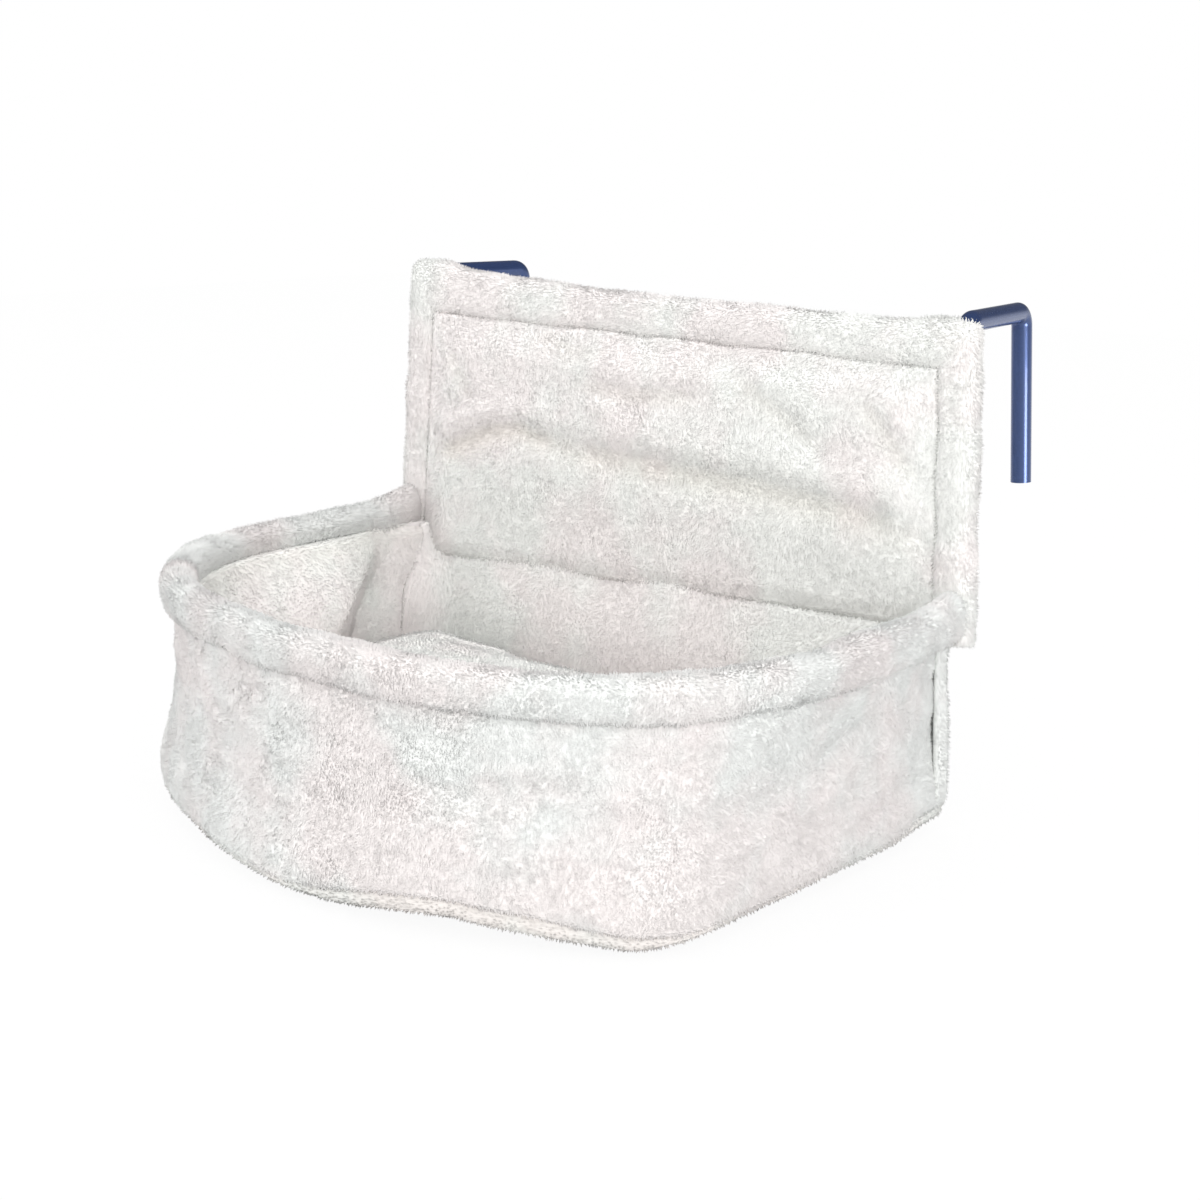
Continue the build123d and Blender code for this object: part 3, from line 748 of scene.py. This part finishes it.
# %% Where the wall stands
def wall_place(share, inset, steps, start=WALL_HALF, hem=0.0):
    """Gives the wall's points and outward directions at one height, moved in, its head let out by the hem."""
    low, high = floor_path(start, steps), hoop_path(start, steps)
    out_low, out_high = outward(low), outward(high)
    low_face = low - out_low * inset
    high_face = high - out_high * (inset * HEAD_SHARE + WALL_HEAD_IN - WALL_HALF)
    line = low_face * (1 - share) + high_face * share
    out = outward(line)
    step = np.linalg.norm(line[1] - line[0])
    from_end = np.minimum(np.arange(steps), np.arange(steps)[::-1]) * step
    pinch = (REAR_PINCH + (REAR_HEAD_PINCH - REAR_PINCH) * share) * (1 - smooth_step(from_end / REAR_REACH))
    pinch *= 1 - hem * smooth_step((share - HEM_FOOT) / (1 - HEM_FOOT))
    return line - out * pinch[:, None], out


def foot_lines(places):
    """Gives how far the underside rises at each place, and the height of the padded strip above it."""
    x, y = places[..., 0], places[..., 1]
    at_front = smooth_step((-60 * MM - y) / (60 * MM))
    at_rear = smooth_step((y - 60 * MM) / (40 * MM))
    rise = at_front * np.interp(x, FOOT_LINE_X, FOOT_LINE_RISE) + (1 - at_front) * SIDE_RISE
    strip = at_front * np.interp(x, FOOT_LINE_X, STRIP_HEIGHT) + (1 - at_front) * SIDE_STRIP
    return rise, strip * (1 - at_rear) + (WALL_FOOT - SIDE_RISE) * at_rear


# %% The wall's faces
def wall_faces(inset, thickness, steps, rows, shape, start=WALL_HALF, hem=0.0):
    """Gives the wall's thin sections round the basket: its shown face, and the face behind it."""
    shares = np.linspace(0, 1, rows)
    shown, ways = [], []
    for share in shares:
        line, out = wall_place(share, inset, steps, start, hem)
        rise, strip = foot_lines(line)
        shown.append(np.column_stack([line, (rise + strip) * (1 - share) + WALL_HEAD * share]))
        ways.append(raised(out))
    shown, ways = np.array(shown).swapaxes(0, 1), np.array(ways).swapaxes(0, 1)
    behind = shown - ways * np.broadcast_to(thickness, rows)[None, :, None]
    shown = shown + ways * shape(shown, shares)[..., None]
    pick = np.linspace(rows - 1, 0, WALL_BACK_ROWS).round().astype(int)
    return shown, behind[:, pick]


# %% Outer wall
def outer_wall_shape(places, shares):
    """Gives how far the outer cloth stands out: bulge, seams and wrinkles."""
    belly = (WALL_BULGE * smooth_step(shares * 4) - WALL_HOLLOW * np.sin(math.pi * shares))[None, :]
    seam = -(2 * MM * np.exp(-((1 - shares) / 0.04) ** 2) + 1.5 * MM * np.exp(-(shares / 0.05) ** 2))[None, :]
    level = places * (1, 1, 4.5)
    wrinkles = waves(level, (1.6, 70, 1), (1.0, 28, 2)) + waves(places, (0.5, 11, 6))
    calm = np.sin(math.pi * np.clip(shares, 0.02, 0.98)) ** 0.5
    return belly + seam + wrinkles * calm[None, :]


wall_depth = WALL_BACK - WALL_HEAD_THIN * smooth_step(np.linspace(0, 1, WALL_ROWS) * 5 - 4)
wall = cloth_mesh("outer_wall", *wall_faces(0, wall_depth, WALL_STEPS, WALL_ROWS, outer_wall_shape))
dress(wall, outer_plush, COVER, ["outer_wall_plush", "wall_filling"])
grow_pile(wall, outer_plush, COVER, nap=(0.15, 0.1, -0.45), spacing=1.0, seed=12)

# %% [markdown]
# ## Wall lining
# Inside, a second plush cloth lines the wall. It is cut a little large, so it hangs in slack
# folds, and in the left rear corner it stands off the wall in one steep fold. It is made like
# the outer wall, only further in, and the steep fold is a ridge along a line of points.

# %% Wall lining
LINING_INSET = 12 * MM
LINING_START = 1 * MM
LINING_HEM = 0.75
RIM_SHADE, RIM_SHADE_REACH = 0.15, 0.12
LINING_STEPS, LINING_ROWS = 460, 46
CORNER_FOLD = np.array([(70, 120), (57, 108), (38, 98), (16, 85), (3, 73), (-7, 61), (-16, 48)]) * MM
CORNER_FOLD_HEIGHT = 26 * MM
CORNER_FOLD_X = -150 * MM
SLACK, SLACK_SIZE = 1.6 * MM, 46 * MM


def lining_shape(places, shares):
    """Gives how far the lining stands out of the wall's middle, so minus is into the basket."""
    level = places * (1, 1, 2)
    slack = SLACK * (1 + soft_noise(level, SLACK_SIZE, 8)) + waves(places, (0.6, 14, 9))
    calm = np.sin(math.pi * np.clip(shares, 0.03, 0.97)) ** 0.5
    inwards = slack * calm[None, :]
    x, z = places[..., 0], places[..., 2]
    gap, along = along_line(places[..., 1:], CORNER_FOLD)
    lift = smooth_step(along * 1.6) * CORNER_FOLD_HEIGHT * smooth_step((z - 28 * MM) / (18 * MM))
    behind_ridge = np.clip(1 - gap / (8 * MM + 46 * MM * along), 0, 1)
    before_ridge = np.exp(-(gap / (16 * MM + 60 * MM * along)) ** 2)
    raised = lift * np.where(gap > 0, behind_ridge, before_ridge)
    return -(inwards + np.where(x < CORNER_FOLD_X, raised, 0))


faces = wall_faces(
    LINING_INSET, -WALL_PLY * 0.5, LINING_STEPS, LINING_ROWS, lining_shape, LINING_START, LINING_HEM
)
near_rim = np.exp(-((1 - np.linspace(0, 1, LINING_ROWS)) / RIM_SHADE_REACH) ** 2)
lining = cloth_mesh("lining_cloth", *faces, fold=RIM_SHADE * near_rim)
dress(lining, inner_plush_painted_light, COVER, ["wall_lining"])
lining_pile = grow_pile(lining, inner_plush_painted_light, COVER, nap=(0, 0, -0.4), spacing=1.4, seed=13)

# %% [markdown]
# ## Back panel
# The back panel is a flat cushion between three sleeves. The sleeves go over the uprights and
# the crossbar, and their cloth stands up in a small ear at each top corner. Three rolls would
# need mitred corners, so one ring is led along both the outer edge and the seam inside it.

# %% Outer edge and seam of the border
EAR_SLANT = 10 * MM
SLEEVE_FOOT = sleeve_low.z - 4 * MM
SLEEVE_HEAD = BAR_Z + BAND_RADIUS
EAR_RISE = 5 * MM
EAR_WIDTH = 30 * MM
FOOT_X = sleeve_high.x
EDGE_LEAN = (HOOP_HALF - 203.2 * MM) / 162.6 / MM
BORDER_WIDTH = 25 * MM
BORDER_FRONT, BORDER_REAR = 9.5 * MM, 8 * MM
RIGHT_TUCK = 3.5 * MM
HEAD_LINE_X = np.array([-215, -150, 0, 120, 215]) * MM
HEAD_LINE_RISE = np.array([5, 5, 2.5, 1.5, -3]) * MM
BORDER_AROUND = 44


def edge_x(height):
    """Gives the panel's outer half width at one height."""
    return FOOT_X - EDGE_LEAN * (height - SLEEVE_FOOT)


corner_top = SLEEVE_HEAD + EAR_RISE
ear_x = edge_x(corner_top) - EAR_WIDTH
half_outer = rounded(
    [
        (0, SLEEVE_HEAD - 2.5 * MM),
        (ear_x - 2 * EAR_WIDTH, SLEEVE_HEAD - 1.5 * MM),
        (ear_x - EAR_SLANT, SLEEVE_HEAD + 1 * MM),
        (ear_x + 4 * MM, corner_top),
        (edge_x(corner_top), corner_top),
        (edge_x(SLEEVE_HEAD - 60 * MM) + 0.5 * MM, SLEEVE_HEAD - 60 * MM),
        (FOOT_X, SLEEVE_FOOT),
    ],
    7 * MM,
)
INNER_HEAD = SLEEVE_HEAD - BORDER_WIDTH


def inner_edge(outer):
    """Gives the seam point that belongs to a point of the outer edge."""
    x, z = outer
    limit = edge_x(INNER_HEAD) - BORDER_WIDTH
    if z > INNER_HEAD + 2 * MM:
        return (min(x, limit), INNER_HEAD)
    return (edge_x(z) - BORDER_WIDTH, z)


half_outer = evenly(half_outer, 220)
half_inner = np.array([inner_edge(p) for p in half_outer])
outer = np.vstack([half_outer[::-1] * (-1, 1), half_outer[1:]])
outer[:, 0] -= RIGHT_TUCK * smooth_step((outer[:, 0] - 0.6 * FOOT_X) / (0.35 * FOOT_X))
near_head = smooth_step((outer[:, 1] - (SLEEVE_HEAD - 40 * MM)) / (30 * MM))
outer[:, 1] += near_head * np.interp(outer[:, 0], HEAD_LINE_X, HEAD_LINE_RISE)
inner = np.vstack([half_inner[::-1] * (-1, 1), half_inner[1:]])
SMOOTHED = 9
inside = slice(SMOOTHED // 2, -(SMOOTHED // 2))
for k in (0, 1):
    inner[inside, k] = np.convolve(inner[:, k], np.ones(SMOOTHED) / SMOOTHED, "valid")

# %% Panel border
angle = np.linspace(0, 2 * math.pi, BORDER_AROUND, endpoint=False)
power = np.where(np.cos(angle) > 0, 0.8, 0.5)
wide, deep = boxed(np.cos(angle), power), boxed(np.sin(angle), power)
middle, half = (outer + inner) / 2, (outer - inner) / 2
flat = middle[:, None, :] + half[:, None, :] * wide[None, :, None]
depth = np.where(deep > 0, BORDER_FRONT, BORDER_REAR) * deep
rings = np.stack([flat[..., 0], PANEL_Y - np.tile(depth, (len(outer), 1)), flat[..., 1]], axis=-1)
shift = waves(rings, (1.0, 24, 21), (0.6, 10, 22))
centre = np.stack([middle[:, 0], np.full(len(middle), PANEL_Y), middle[:, 1]], axis=1)[:, None, :]
spoke = rings - centre
rings = rings + spoke / np.maximum(np.linalg.norm(spoke, axis=-1, keepdims=True), 1 * MM) * shift[..., None]
border = cloth_mesh("panel_border", rings)
dress(border, inner_plush_painted_light, COVER, ["panel_sleeve"])
grow_pile(border, inner_plush_painted_light, COVER, nap=(0, 0, -0.3), spacing=1.0, seed=14)

# %% [markdown]
# ## Panel cushion
# The front of the panel is a thin cushion with a crown. Its cloth is pulled by the seams, so it
# has one long crease across the middle, a bump above it, and slanting creases on the right.
# They could be sculpted, but as lines with a width and a depth they are easy to check against
# the photo and to move.

# %% Sizes and creases of the panel cushion
PANEL_FOOT = 105 * MM
PANEL_FOOT_SLOPE = 0.05
PANEL_SEAM_Y = PANEL_Y - 6.5 * MM
PANEL_CROWN = 6.5 * MM
PANEL_COLUMNS, PANEL_ROWS = 230, 100
CREASE_SHADE, CREASE_FULL = 0.45, 4 * MM
KNOB_X, KNOB_Z, KNOB_HEIGHT = -42 * MM, 219 * MM, 2.5 * MM
PANEL_CREASES = [
    ([(-186, 168), (-166, 176), (-136, 189), (-108, 194), (-72, 187)], 9, 3.2, 0.7),
    ([(-80, 190), (-40, 185), (8, 183), (82, 181), (140, 177), (194, 168)], 11, 2.6, 1.0),
    ([(-58, 228), (-20, 226), (36, 231)], 8, 1.5, 0.7),
    ([(60, 246), (95, 226), (132, 203)], 8, 1.3, 0.9),
    ([(147, 243), (168, 220), (187, 196)], 8, 1.5, 0.9),
    ([(-176, 240), (-160, 222), (-150, 205)], 7, 1.2, 0.6),
    ([(-100, 262), (-70, 250), (-30, 247)], 7, 1.0, 0.6),
]


def hidden_face(x, z, depth, skip):
    """Gives the few hidden points that close an upright cloth behind, all at one depth."""
    back_x = x[:, ::-skip]
    return np.stack([back_x, np.full(back_x.shape, depth), z[:, : back_x.shape[1]]], axis=-1)


# %% Panel cushion
across = np.linspace(-1, 1, PANEL_COLUMNS)
upward = np.linspace(0, 1, PANEL_ROWS)[:, None]
panel_head = INNER_HEAD + 2 * MM
z = (PANEL_FOOT + PANEL_FOOT_SLOPE * across * FOOT_X)[None, :] * (1 - upward) + panel_head * upward
half_width = np.array([[edge_x(height) - BORDER_WIDTH + 2 * MM for height in row] for row in z])
x = half_width * across
from_side = (half_width - np.abs(x)) / (26 * MM)
from_head = (panel_head - z) / (24 * MM)
from_foot = (z - z[:1]) / (16 * MM)
crown = smooth_step(from_side) * smooth_step(from_head) * (0.35 + 0.65 * smooth_step(from_foot))
rise = PANEL_CROWN * (0.25 + 0.75 * crown)
rise *= smooth_step(from_side * 8 + 0.2) * smooth_step(from_head * 8 + 0.2) * smooth_step(from_foot * 3 + 0.1)
creases = np.zeros_like(x)
flat_place = np.stack([x, z], axis=-1)
for line, width, depth, lip in PANEL_CREASES:
    creases += fold(flat_place, np.array(line) * MM, width * MM, depth * MM, lip)
knob = np.exp(-(((x - KNOB_X) / (11 * MM)) ** 2 + ((z - KNOB_Z) / (7 * MM)) ** 2))
upright_place = np.stack([x, 0 * x, z], axis=-1)
ripple = waves(upright_place * (1, 1, 1.4), (1.2, 55, 31)) + waves(upright_place, (0.5, 20, 32))
calm = smooth_step(from_side * 2) * smooth_step(from_head * 2) * smooth_step(from_foot * 2)
front_y = PANEL_SEAM_Y - rise - (creases + KNOB_HEIGHT * knob + ripple) * calm
front = np.stack([x, front_y, z], axis=-1)
deep = np.clip(-creases / CREASE_FULL, 0, 1) * calm
behind = hidden_face(x, z, PANEL_SEAM_Y + 3 * MM, 40)
panel = cloth_mesh("panel_cushion", front, behind, fold=CREASE_SHADE * deep)
dress(panel, inner_plush_painted_light, COVER, ["panel_front_plush", "panel_filling"])
grow_pile(panel, inner_plush_painted_light, COVER, nap=(0.1, 0, -0.5), spacing=1.15, seed=15)


# %% [markdown]
# ## Flat cloths at the back
# Behind the panel and the basket the cloth is plain: a sheet with a soft edge, slightly wavy.
# A flat plane would have no thickness and catch no light at its edges, so one function makes
# closed sheets whose width can change with the height.

# %% A soft sheet between four edges
def flat_cloth(name, low, high, half_at, y_front, thickness, toward, wave=0.8, seed=41, belly=None):
    """Makes a thin upright cloth whose shown face lies at one depth and looks back or forward."""
    rows, columns = 60, 200
    heights = np.linspace(low, high, rows)
    half = np.array([half_at(z) for z in heights])
    x = half[:, None] * np.linspace(-1, 1, columns)[None, :]
    z = np.repeat(heights[:, None], columns, axis=1)
    from_edge = np.minimum((half[:, None] - np.abs(x)), np.minimum(z - low, high - z))
    soft = smooth_step(from_edge / (8 * MM))
    ripple = waves(np.stack([x, 0 * x, z * 1.5], axis=-1), (wave, 45, seed))
    rounded_out = belly(x, z) if belly else 0
    depth = y_front + toward * (soft * (1.2 * MM + ripple) + rounded_out - 1.0 * MM * (1 - soft))
    behind = hidden_face(x, z, y_front - toward * thickness, columns // 6)
    return cloth_mesh(name, np.stack([x, depth, z], axis=-1), behind)


# %% [markdown]
# ## Panel back and flap
# The panel's rear is covered by one sheet, and the flap that closes the cover hangs below it.
# Both could be one piece, but they're sewn apart, and the flap lies further out.

# %% Panel back and flap
panel_back_low, panel_back_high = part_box("panel_back_plush")
back_cloth = flat_cloth(
    "panel_back_cloth",
    panel_back_low.z - 2 * MM,
    INNER_HEAD + 2 * MM,
    lambda z: edge_x(z) - BORDER_WIDTH + 2 * MM,
    panel_back_high.y - 1.2 * MM,
    2 * MM,
    1,
)
dress(back_cloth, outer_plush, COVER, ["panel_back_plush"])
back_cloth_pile = grow_pile(back_cloth, outer_plush, COVER, spacing=1.5, seed=16)

back_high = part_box("back_wall_plush")[1]
FLAP_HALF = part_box("hook_strip")[1].x + 12 * MM
flap = flat_cloth(
    "back_flap", HOOP_Z - 14 * MM, back_high.z, lambda z: FLAP_HALF, back_high.y - 1.2 * MM, 2 * MM, 1
)
dress(flap, outer_plush, COVER, [])
flap_pile = grow_pile(flap, outer_plush, COVER, spacing=1.4, seed=17)

# %% [markdown]
# ## Back wall
# The basket's rear is flat against the radiator and turns forward at both ends, where it meets
# the outer wall. A flat sheet would leave those ends open, so its rings follow a line with two
# round corners, which gets narrower with the height.

# %% Back wall
REAR_HALF = FLOOR_HALF - REAR_PINCH
REAR_HEAD_HALF = HOOP_HALF + WALL_HALF - WALL_HEAD_IN - REAR_HEAD_PINCH
rear_line = rounded(
    [
        (-REAR_HALF, PANEL_Y - 7 * MM),
        (-REAR_HALF, back_high.y - 1 * MM),
        (REAR_HALF, back_high.y - 1 * MM),
        (REAR_HALF, PANEL_Y - 7 * MM),
    ],
    9 * MM,
)
rear_line = evenly(rear_line, 250)
rear_out = -outward(rear_line)
rear_heights = np.linspace(WALL_FOOT, HOOP_Z - 11 * MM, 50)
faces = []
for height in rear_heights:
    ends = min(height - rear_heights[0], rear_heights[-1] - height)
    soft = float(smooth_step(np.array(ends / (7 * MM))))
    share = (height - WALL_FOOT) / (WALL_HEAD - WALL_FOOT)
    narrow = 1 - (1 - REAR_HEAD_HALF / REAR_HALF) * share
    line = raised(rear_line * (narrow, 1), height)
    push = waves(line * (1, 1, 2), (1.5, 50, 43)) + 1.5 * MM * soft - 1.5 * MM
    way = raised(rear_out)
    faces.append((line + way * push[:, None], (line - way * 3 * MM)[::-14]))
back_wall = cloth_mesh("back_wall", *(np.array(face) for face in zip(*faces)))
dress(back_wall, outer_plush, COVER, ["back_wall_plush"])
back_wall_pile = grow_pile(back_wall, outer_plush, COVER, spacing=1.4, seed=20)

# %% [markdown]
# ## Back lining
# Inside, the back has a lining that bulges forward over its filling and sweeps round the left
# corner. It could be a part of the wall's lining, but the real one is a piece of its own, so the
# sheet is bent by a function that adds the belly and the corner.

# %% Back lining
lining_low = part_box("back_wall_lining")[0]
LINING_BELLY = 4.5 * MM
CORNER_RADIUS = 43 * MM
CORNER_HEAD_SHARE = 0.45
CORNER_X = 8.5 * MM - REAR_HALF


def lining_half(height):
    """Gives the back lining's half width, which keeps it between the wall and the wall's lining."""
    return REAR_HALF - 9 * MM - 4.2 * MM * smooth_step((height - lining_low.z) / (40 * MM))


def lining_belly(x, z):
    """Gives how far the back lining comes forward: a low belly, and a round left corner."""
    share = (z - lining_low.z) / (HOOP_Z - lining_low.z)
    radius = CORNER_RADIUS * (1 - (1 - CORNER_HEAD_SHARE) * smooth_step(share * 1.6 - 0.6))
    radius = radius * (0.35 + 0.65 * smooth_step(share * 5))
    inside = np.clip(radius - (x - CORNER_X), 0, radius)
    corner = radius - np.sqrt(np.maximum(radius ** 2 - inside ** 2, 0))
    return LINING_BELLY * np.sin(math.pi * (0.25 + 0.65 * share)) ** 2 + corner


back_lining = flat_cloth(
    "back_lining",
    lining_low.z,
    HOOP_Z - 9 * MM,
    lining_half,
    lining_low.y - 1 * MM,
    11 * MM,
    -1,
    wave=1.8,
    seed=44,
    belly=lining_belly,
)
dress(back_lining, inner_plush_painted_light, COVER, ["back_wall_lining", "back_wall_filling"])
back_lining_pile = grow_pile(back_lining, inner_plush_painted_light, COVER, spacing=1.3, seed=18)


# %% [markdown]
# ## Base
# The underside is a padded cloth that sags a little below the wall's seam. A pillow from a
# simulation would be round all over; here the rings follow the seam's own rise and fall.

# %% The basket's whole outline
def basket_outline(inset, count):
    """Gives the whole outline of the basket's foot, moved in by the inset."""
    line, _ = wall_place(0, inset, 500)
    half, rear = REAR_HALF - inset, back_high.y - inset
    corners = rounded([line[-1], (half, rear), (-half, rear), line[0]], 9 * MM)
    return evenly(np.vstack([line, corners[1:]]), count + 1)[:-1]


# %% Base cover
BASE_COUNT = 460
BASE_TOP = base_high.z
BASE_SIDE = [(9, 14), (6, 14), (4.5, 12.5), (3.3, 11), (2.6, 9.5), (2.3, 8), (2.3, 6.5), (2.8, 5), (3.8, 3.5)]
BASE_SIDE += [(5.5, 2.2), (8, 1.3), (11, 0.7), (15, 0.4)]
inner_outline = basket_outline(9 * MM, BASE_COUNT)
under_outline = basket_outline(15 * MM, BASE_COUNT)
middle_point = np.array([0, PANEL_Y - FLOOR_DEPTH / 2])
TOP_SHARES, UNDER_SHARES = np.linspace(0.02, 0.98, 6), np.linspace(0.97, 0.02, 60)
rings = [shrunk(inner_outline, middle_point, share, BASE_TOP - 2 * MM) for share in TOP_SHARES]
rings += [raised(basket_outline(inset * MM, BASE_COUNT), height * MM) for inset, height in BASE_SIDE]
rings += [shrunk(under_outline, middle_point, share, 0.4 * MM) for share in UNDER_SHARES]
rings = np.array(rings)
under = np.arange(len(rings)) >= len(TOP_SHARES)
rise, strip = foot_lines(rings)
rise = rise + waves(rings * (1, 1, 0), (0.8, 40, 51))
rings[..., 2] += (rise + rings[..., 2] * (strip / WALL_FOOT - 1)) * under[:, None]
pile_value = under[:, None] * np.ones(rings.shape[:2])
base = ring_mesh("base_cover", rings, pile=pile_value, fold=np.zeros(rings.shape[:2]))
# The darker base plush is painted shade for the foot and underside.
dress(base, base_plush, COVER, ["base_plush", "base_filling"])
grow_pile(base, base_plush, COVER, nap=(0, 0, 0.3), spacing=1.5, length=1.8, seed=21)

# %% [markdown]
# ## Floor lining
# A thin cloth lies on the board, under the cushion. It shows only when the cushion is lifted,
# so a few flat rings of the basket's outline are enough.

# %% Floor lining
FLOOR_INSET = 12.5 * MM
cloth_low, cloth_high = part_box("floor_lining")
outline = basket_outline(FLOOR_INSET, 300)
rows = [(0.02, cloth_low.z), (1.0, cloth_low.z)]
rows += [(share, cloth_high.z) for share in np.linspace(1.0, 0.02, 40)]
rings = [shrunk(outline, middle_point, share, height) for share, height in rows]
floor_cloth = cloth_mesh("floor_cloth", np.array(rings))
dress(floor_cloth, under_cloth, COVER, ["floor_lining"])

# %% [markdown]
# ## Floor cushion
# The loose pad inside is a filled cushion with a domed top. First it is only sewn: two flat
# faces shaped like the basket's floor, with a rounded side between them.

# %% Outline of the floor cushion
pad_low, pad_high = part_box("pad_top_cloth")
pad_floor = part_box("pad_bottom_cloth")[0].z
PAD_SPARE, PAD_EDGE = 5 * MM, 4 * MM
PAD_FLAT = 20 * MM
PAD_HALF = pad_high.x + PAD_SPARE
PAD_DEPTH = PANEL_Y - pad_low.y + 2 * PAD_SPARE
PAD_BOW = 6 * MM
PAD_SIDE, PAD_CORNER = 150 * MM, 108 * MM
PAD_AROUND = 420
PAD_START = PANEL_Y - pad_high.y + PAD_EDGE
line = d_path(PAD_HALF, PAD_SIDE, FLOOR_TAPER, PAD_CORNER, PAD_DEPTH, PAD_START, 400)
outline = evenly(np.vstack([line, line[:1]]), PAD_AROUND + 1)[:-1]
at_rear = outline[:, 1] > outline[:, 1].max() - 0.1 * MM
outline[:, 1] += PAD_BOW * at_rear * (1 - (outline[:, 0] / PAD_HALF) ** 2)
pad_middle = outline.mean(axis=0)

# %% Floor cushion
rows = [(share, 0.0) for share in np.linspace(0.02, 0.95, 24)]
for turn in np.linspace(-math.pi / 2, math.pi / 2, 12):
    rows.append((0.96 + 0.04 * math.cos(turn), 0.5 + 0.5 * math.sin(turn)))
rows += [(share, 1.0) for share in np.linspace(0.95, 0.02, 60)]
rings = [shrunk(outline, pad_middle, share, pad_floor + PAD_FLAT * height) for share, height in rows]
pad = ring_mesh("floor_cushion", np.array(rings))

# %% [markdown]
# ## Filling the cushion
# The dome could be drawn as a curve, but a filled cushion pulls its sides in and puckers. So
# air pressure swells the sewn form in a cloth simulation. The cap keeps it inside the basket.

# %% Swell a cushion with air pressure
VOXEL = 5 * MM
SWELL_FRAMES = 20


def applied(piece):
    """Replaces a piece's mesh by what its modifiers make of it, and removes them."""
    graph = bpy.context.evaluated_depsgraph_get()
    made = bpy.data.meshes.new_from_object(piece.evaluated_get(graph))
    piece.modifiers.clear()
    piece.data = made


def swell_cushion(piece, pressure, cap):
    """Swells a closed cloth, moves no point further than the cap, keeps its base flat and its top low."""
    remesh = piece.modifiers.new("even_mesh", "REMESH")
    remesh.mode = "VOXEL"
    remesh.voxel_size = VOXEL
    applied(piece)
    start_place = points_of(piece.data)
    cloth = piece.modifiers.new("air", "CLOTH")
    cloth.settings.use_pressure = True
    cloth.settings.uniform_pressure_force = pressure
    cloth.settings.effector_weights.gravity = 0
    cloth.settings.tension_stiffness = 20
    cloth.settings.compression_stiffness = 20
    for number in range(1, SWELL_FRAMES + 1):
        scene.frame_set(number)
    graph = bpy.context.evaluated_depsgraph_get()
    now = points_of(piece.evaluated_get(graph).to_mesh())
    piece.evaluated_get(graph).to_mesh_clear()
    piece.modifiers.clear()
    scene.frame_set(1)
    moved = now - start_place
    far = np.linalg.norm(moved, axis=1, keepdims=True)
    moved *= np.minimum(1, cap / np.maximum(far, 1e-9))
    place = start_place + moved
    base_line = start_place[:, 2].min()
    place[:, 2] = np.maximum(place[:, 2], base_line)
    piece.data.vertices.foreach_set("co", place.ravel())
    subdivide = piece.modifiers.new("smooth", "SUBSURF")
    subdivide.levels = subdivide.render_levels = 1
    applied(piece)
    print(piece.name, "swelled by up to", round(float(far.max()), 4), "m")


swell_cushion(pad, pressure=4, cap=16 * MM)

# %% [markdown]
# ## Cushion crease
# A used cushion has a dent across its top. The simulation leaves it taut, so one fold and soft
# waves are added to the swelled form, and the pile is kept off its underside.

# %% Crease and pile of the floor cushion
PAD_CREASE = np.array([(-150, 62), (-95, 66), (-30, 74), (40, 72)]) * MM
place = points_of(pad.data)
on_top = smooth_step((place[:, 2] - pad_floor - 6 * MM) / (6 * MM))
crease = fold(place[:, :2], PAD_CREASE, 9 * MM, 3 * MM, 0.5)
place[:, 2] += on_top * (waves(place, (1.0, 40, 61)) + crease)
pad.data.vertices.foreach_set("co", place.ravel())
pad.data.update()
pad.data.shade_smooth()
store_values(pad.data, pile=(place[:, 2] > pad_floor + 5 * MM) * 1.0, fold=0 * on_top)
low, high = place.min(axis=0), place.max(axis=0)
print("cushion from", low, "to", high)
corners = np.empty(len(pad.data.loops), np.int32)
pad.data.loops.foreach_get("vertex_index", corners)
seen_from_above = ((place - low) / (high - low))[corners, :2]
pad.data.uv_layers.new(name="cloth").data.foreach_set("uv", seen_from_above.ravel())
pad["cloth_size"] = tuple(float(width) for width in (high - low)[:2])
dress(pad, inner_plush_painted_light, PAD, ["pad_top_cloth", "pad_bottom_cloth", "pad_filling"])
grow_pile(pad, inner_plush_painted_light, PAD, nap=(0.2, -0.3, 0), spacing=1.7, seed=19)

# %% [markdown]
# ## Steel, board and tape
# The tubes are coated in a deep glossy blue, and the studs and springs are bare steel. One flat
# colour would look like plastic, so fine specks vary the colour and the gloss of each finish.

# %% Tube and steel materials
SPECK_SCALE = 900.0


def speckled(name, colour, roughness, **more):
    """Makes a material whose colour and gloss vary a little from speck to speck."""
    material, tree, shader = new_material(name)
    place = add_node(tree, "ShaderNodeTexCoord").outputs["Object"]
    noise = add_node(tree, "ShaderNodeTexNoise", {"Vector": place, "Scale": SPECK_SCALE, "Detail": 2.0})
    speck = noise.outputs["Fac"]
    tint = add_node(tree, "ShaderNodeMix", {
        "Factor": speck,
        "A": (*(0.8 * c for c in colour), 1),
        "B": (*(min(1.2 * c, 1) for c in colour), 1),
    }, data_type="RGBA")
    gloss = add_node(tree, "ShaderNodeMapRange", {
        "Value": speck, "To Min": roughness * 0.8, "To Max": roughness * 1.2,
    })
    fill_inputs(tree, shader, {"Base Color": tint.outputs["Result"], "Roughness": gloss.outputs[0], **more})
    return material


tube_paint = speckled("blue_tube_coating", (0.042, 0.075, 0.20), 0.25, **{
    "Metallic": 0.5, "Coat Weight": 0.4, "Coat Roughness": 0.06,
})
spring_steel = speckled("spring_steel", (0.62, 0.61, 0.58), 0.3, Metallic=1.0)
board_brown = speckled("hardboard", (0.33, 0.21, 0.12), 0.7)
tape_white = speckled("closure_tape", (0.80, 0.80, 0.78), 0.9)

# %% Give the solids their finishes
FINISHES = {
    "_tube": tube_paint,
    "_button": spring_steel,
    "_spring": spring_steel,
    "_board": board_brown,
    "_strip": tape_white,
}
for name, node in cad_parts.items():
    for ending, finish in FINISHES.items():
        if name.endswith(ending):
            node.data.materials.clear()
            node.data.materials.append(finish)
            print(name, "is now", finish.name)
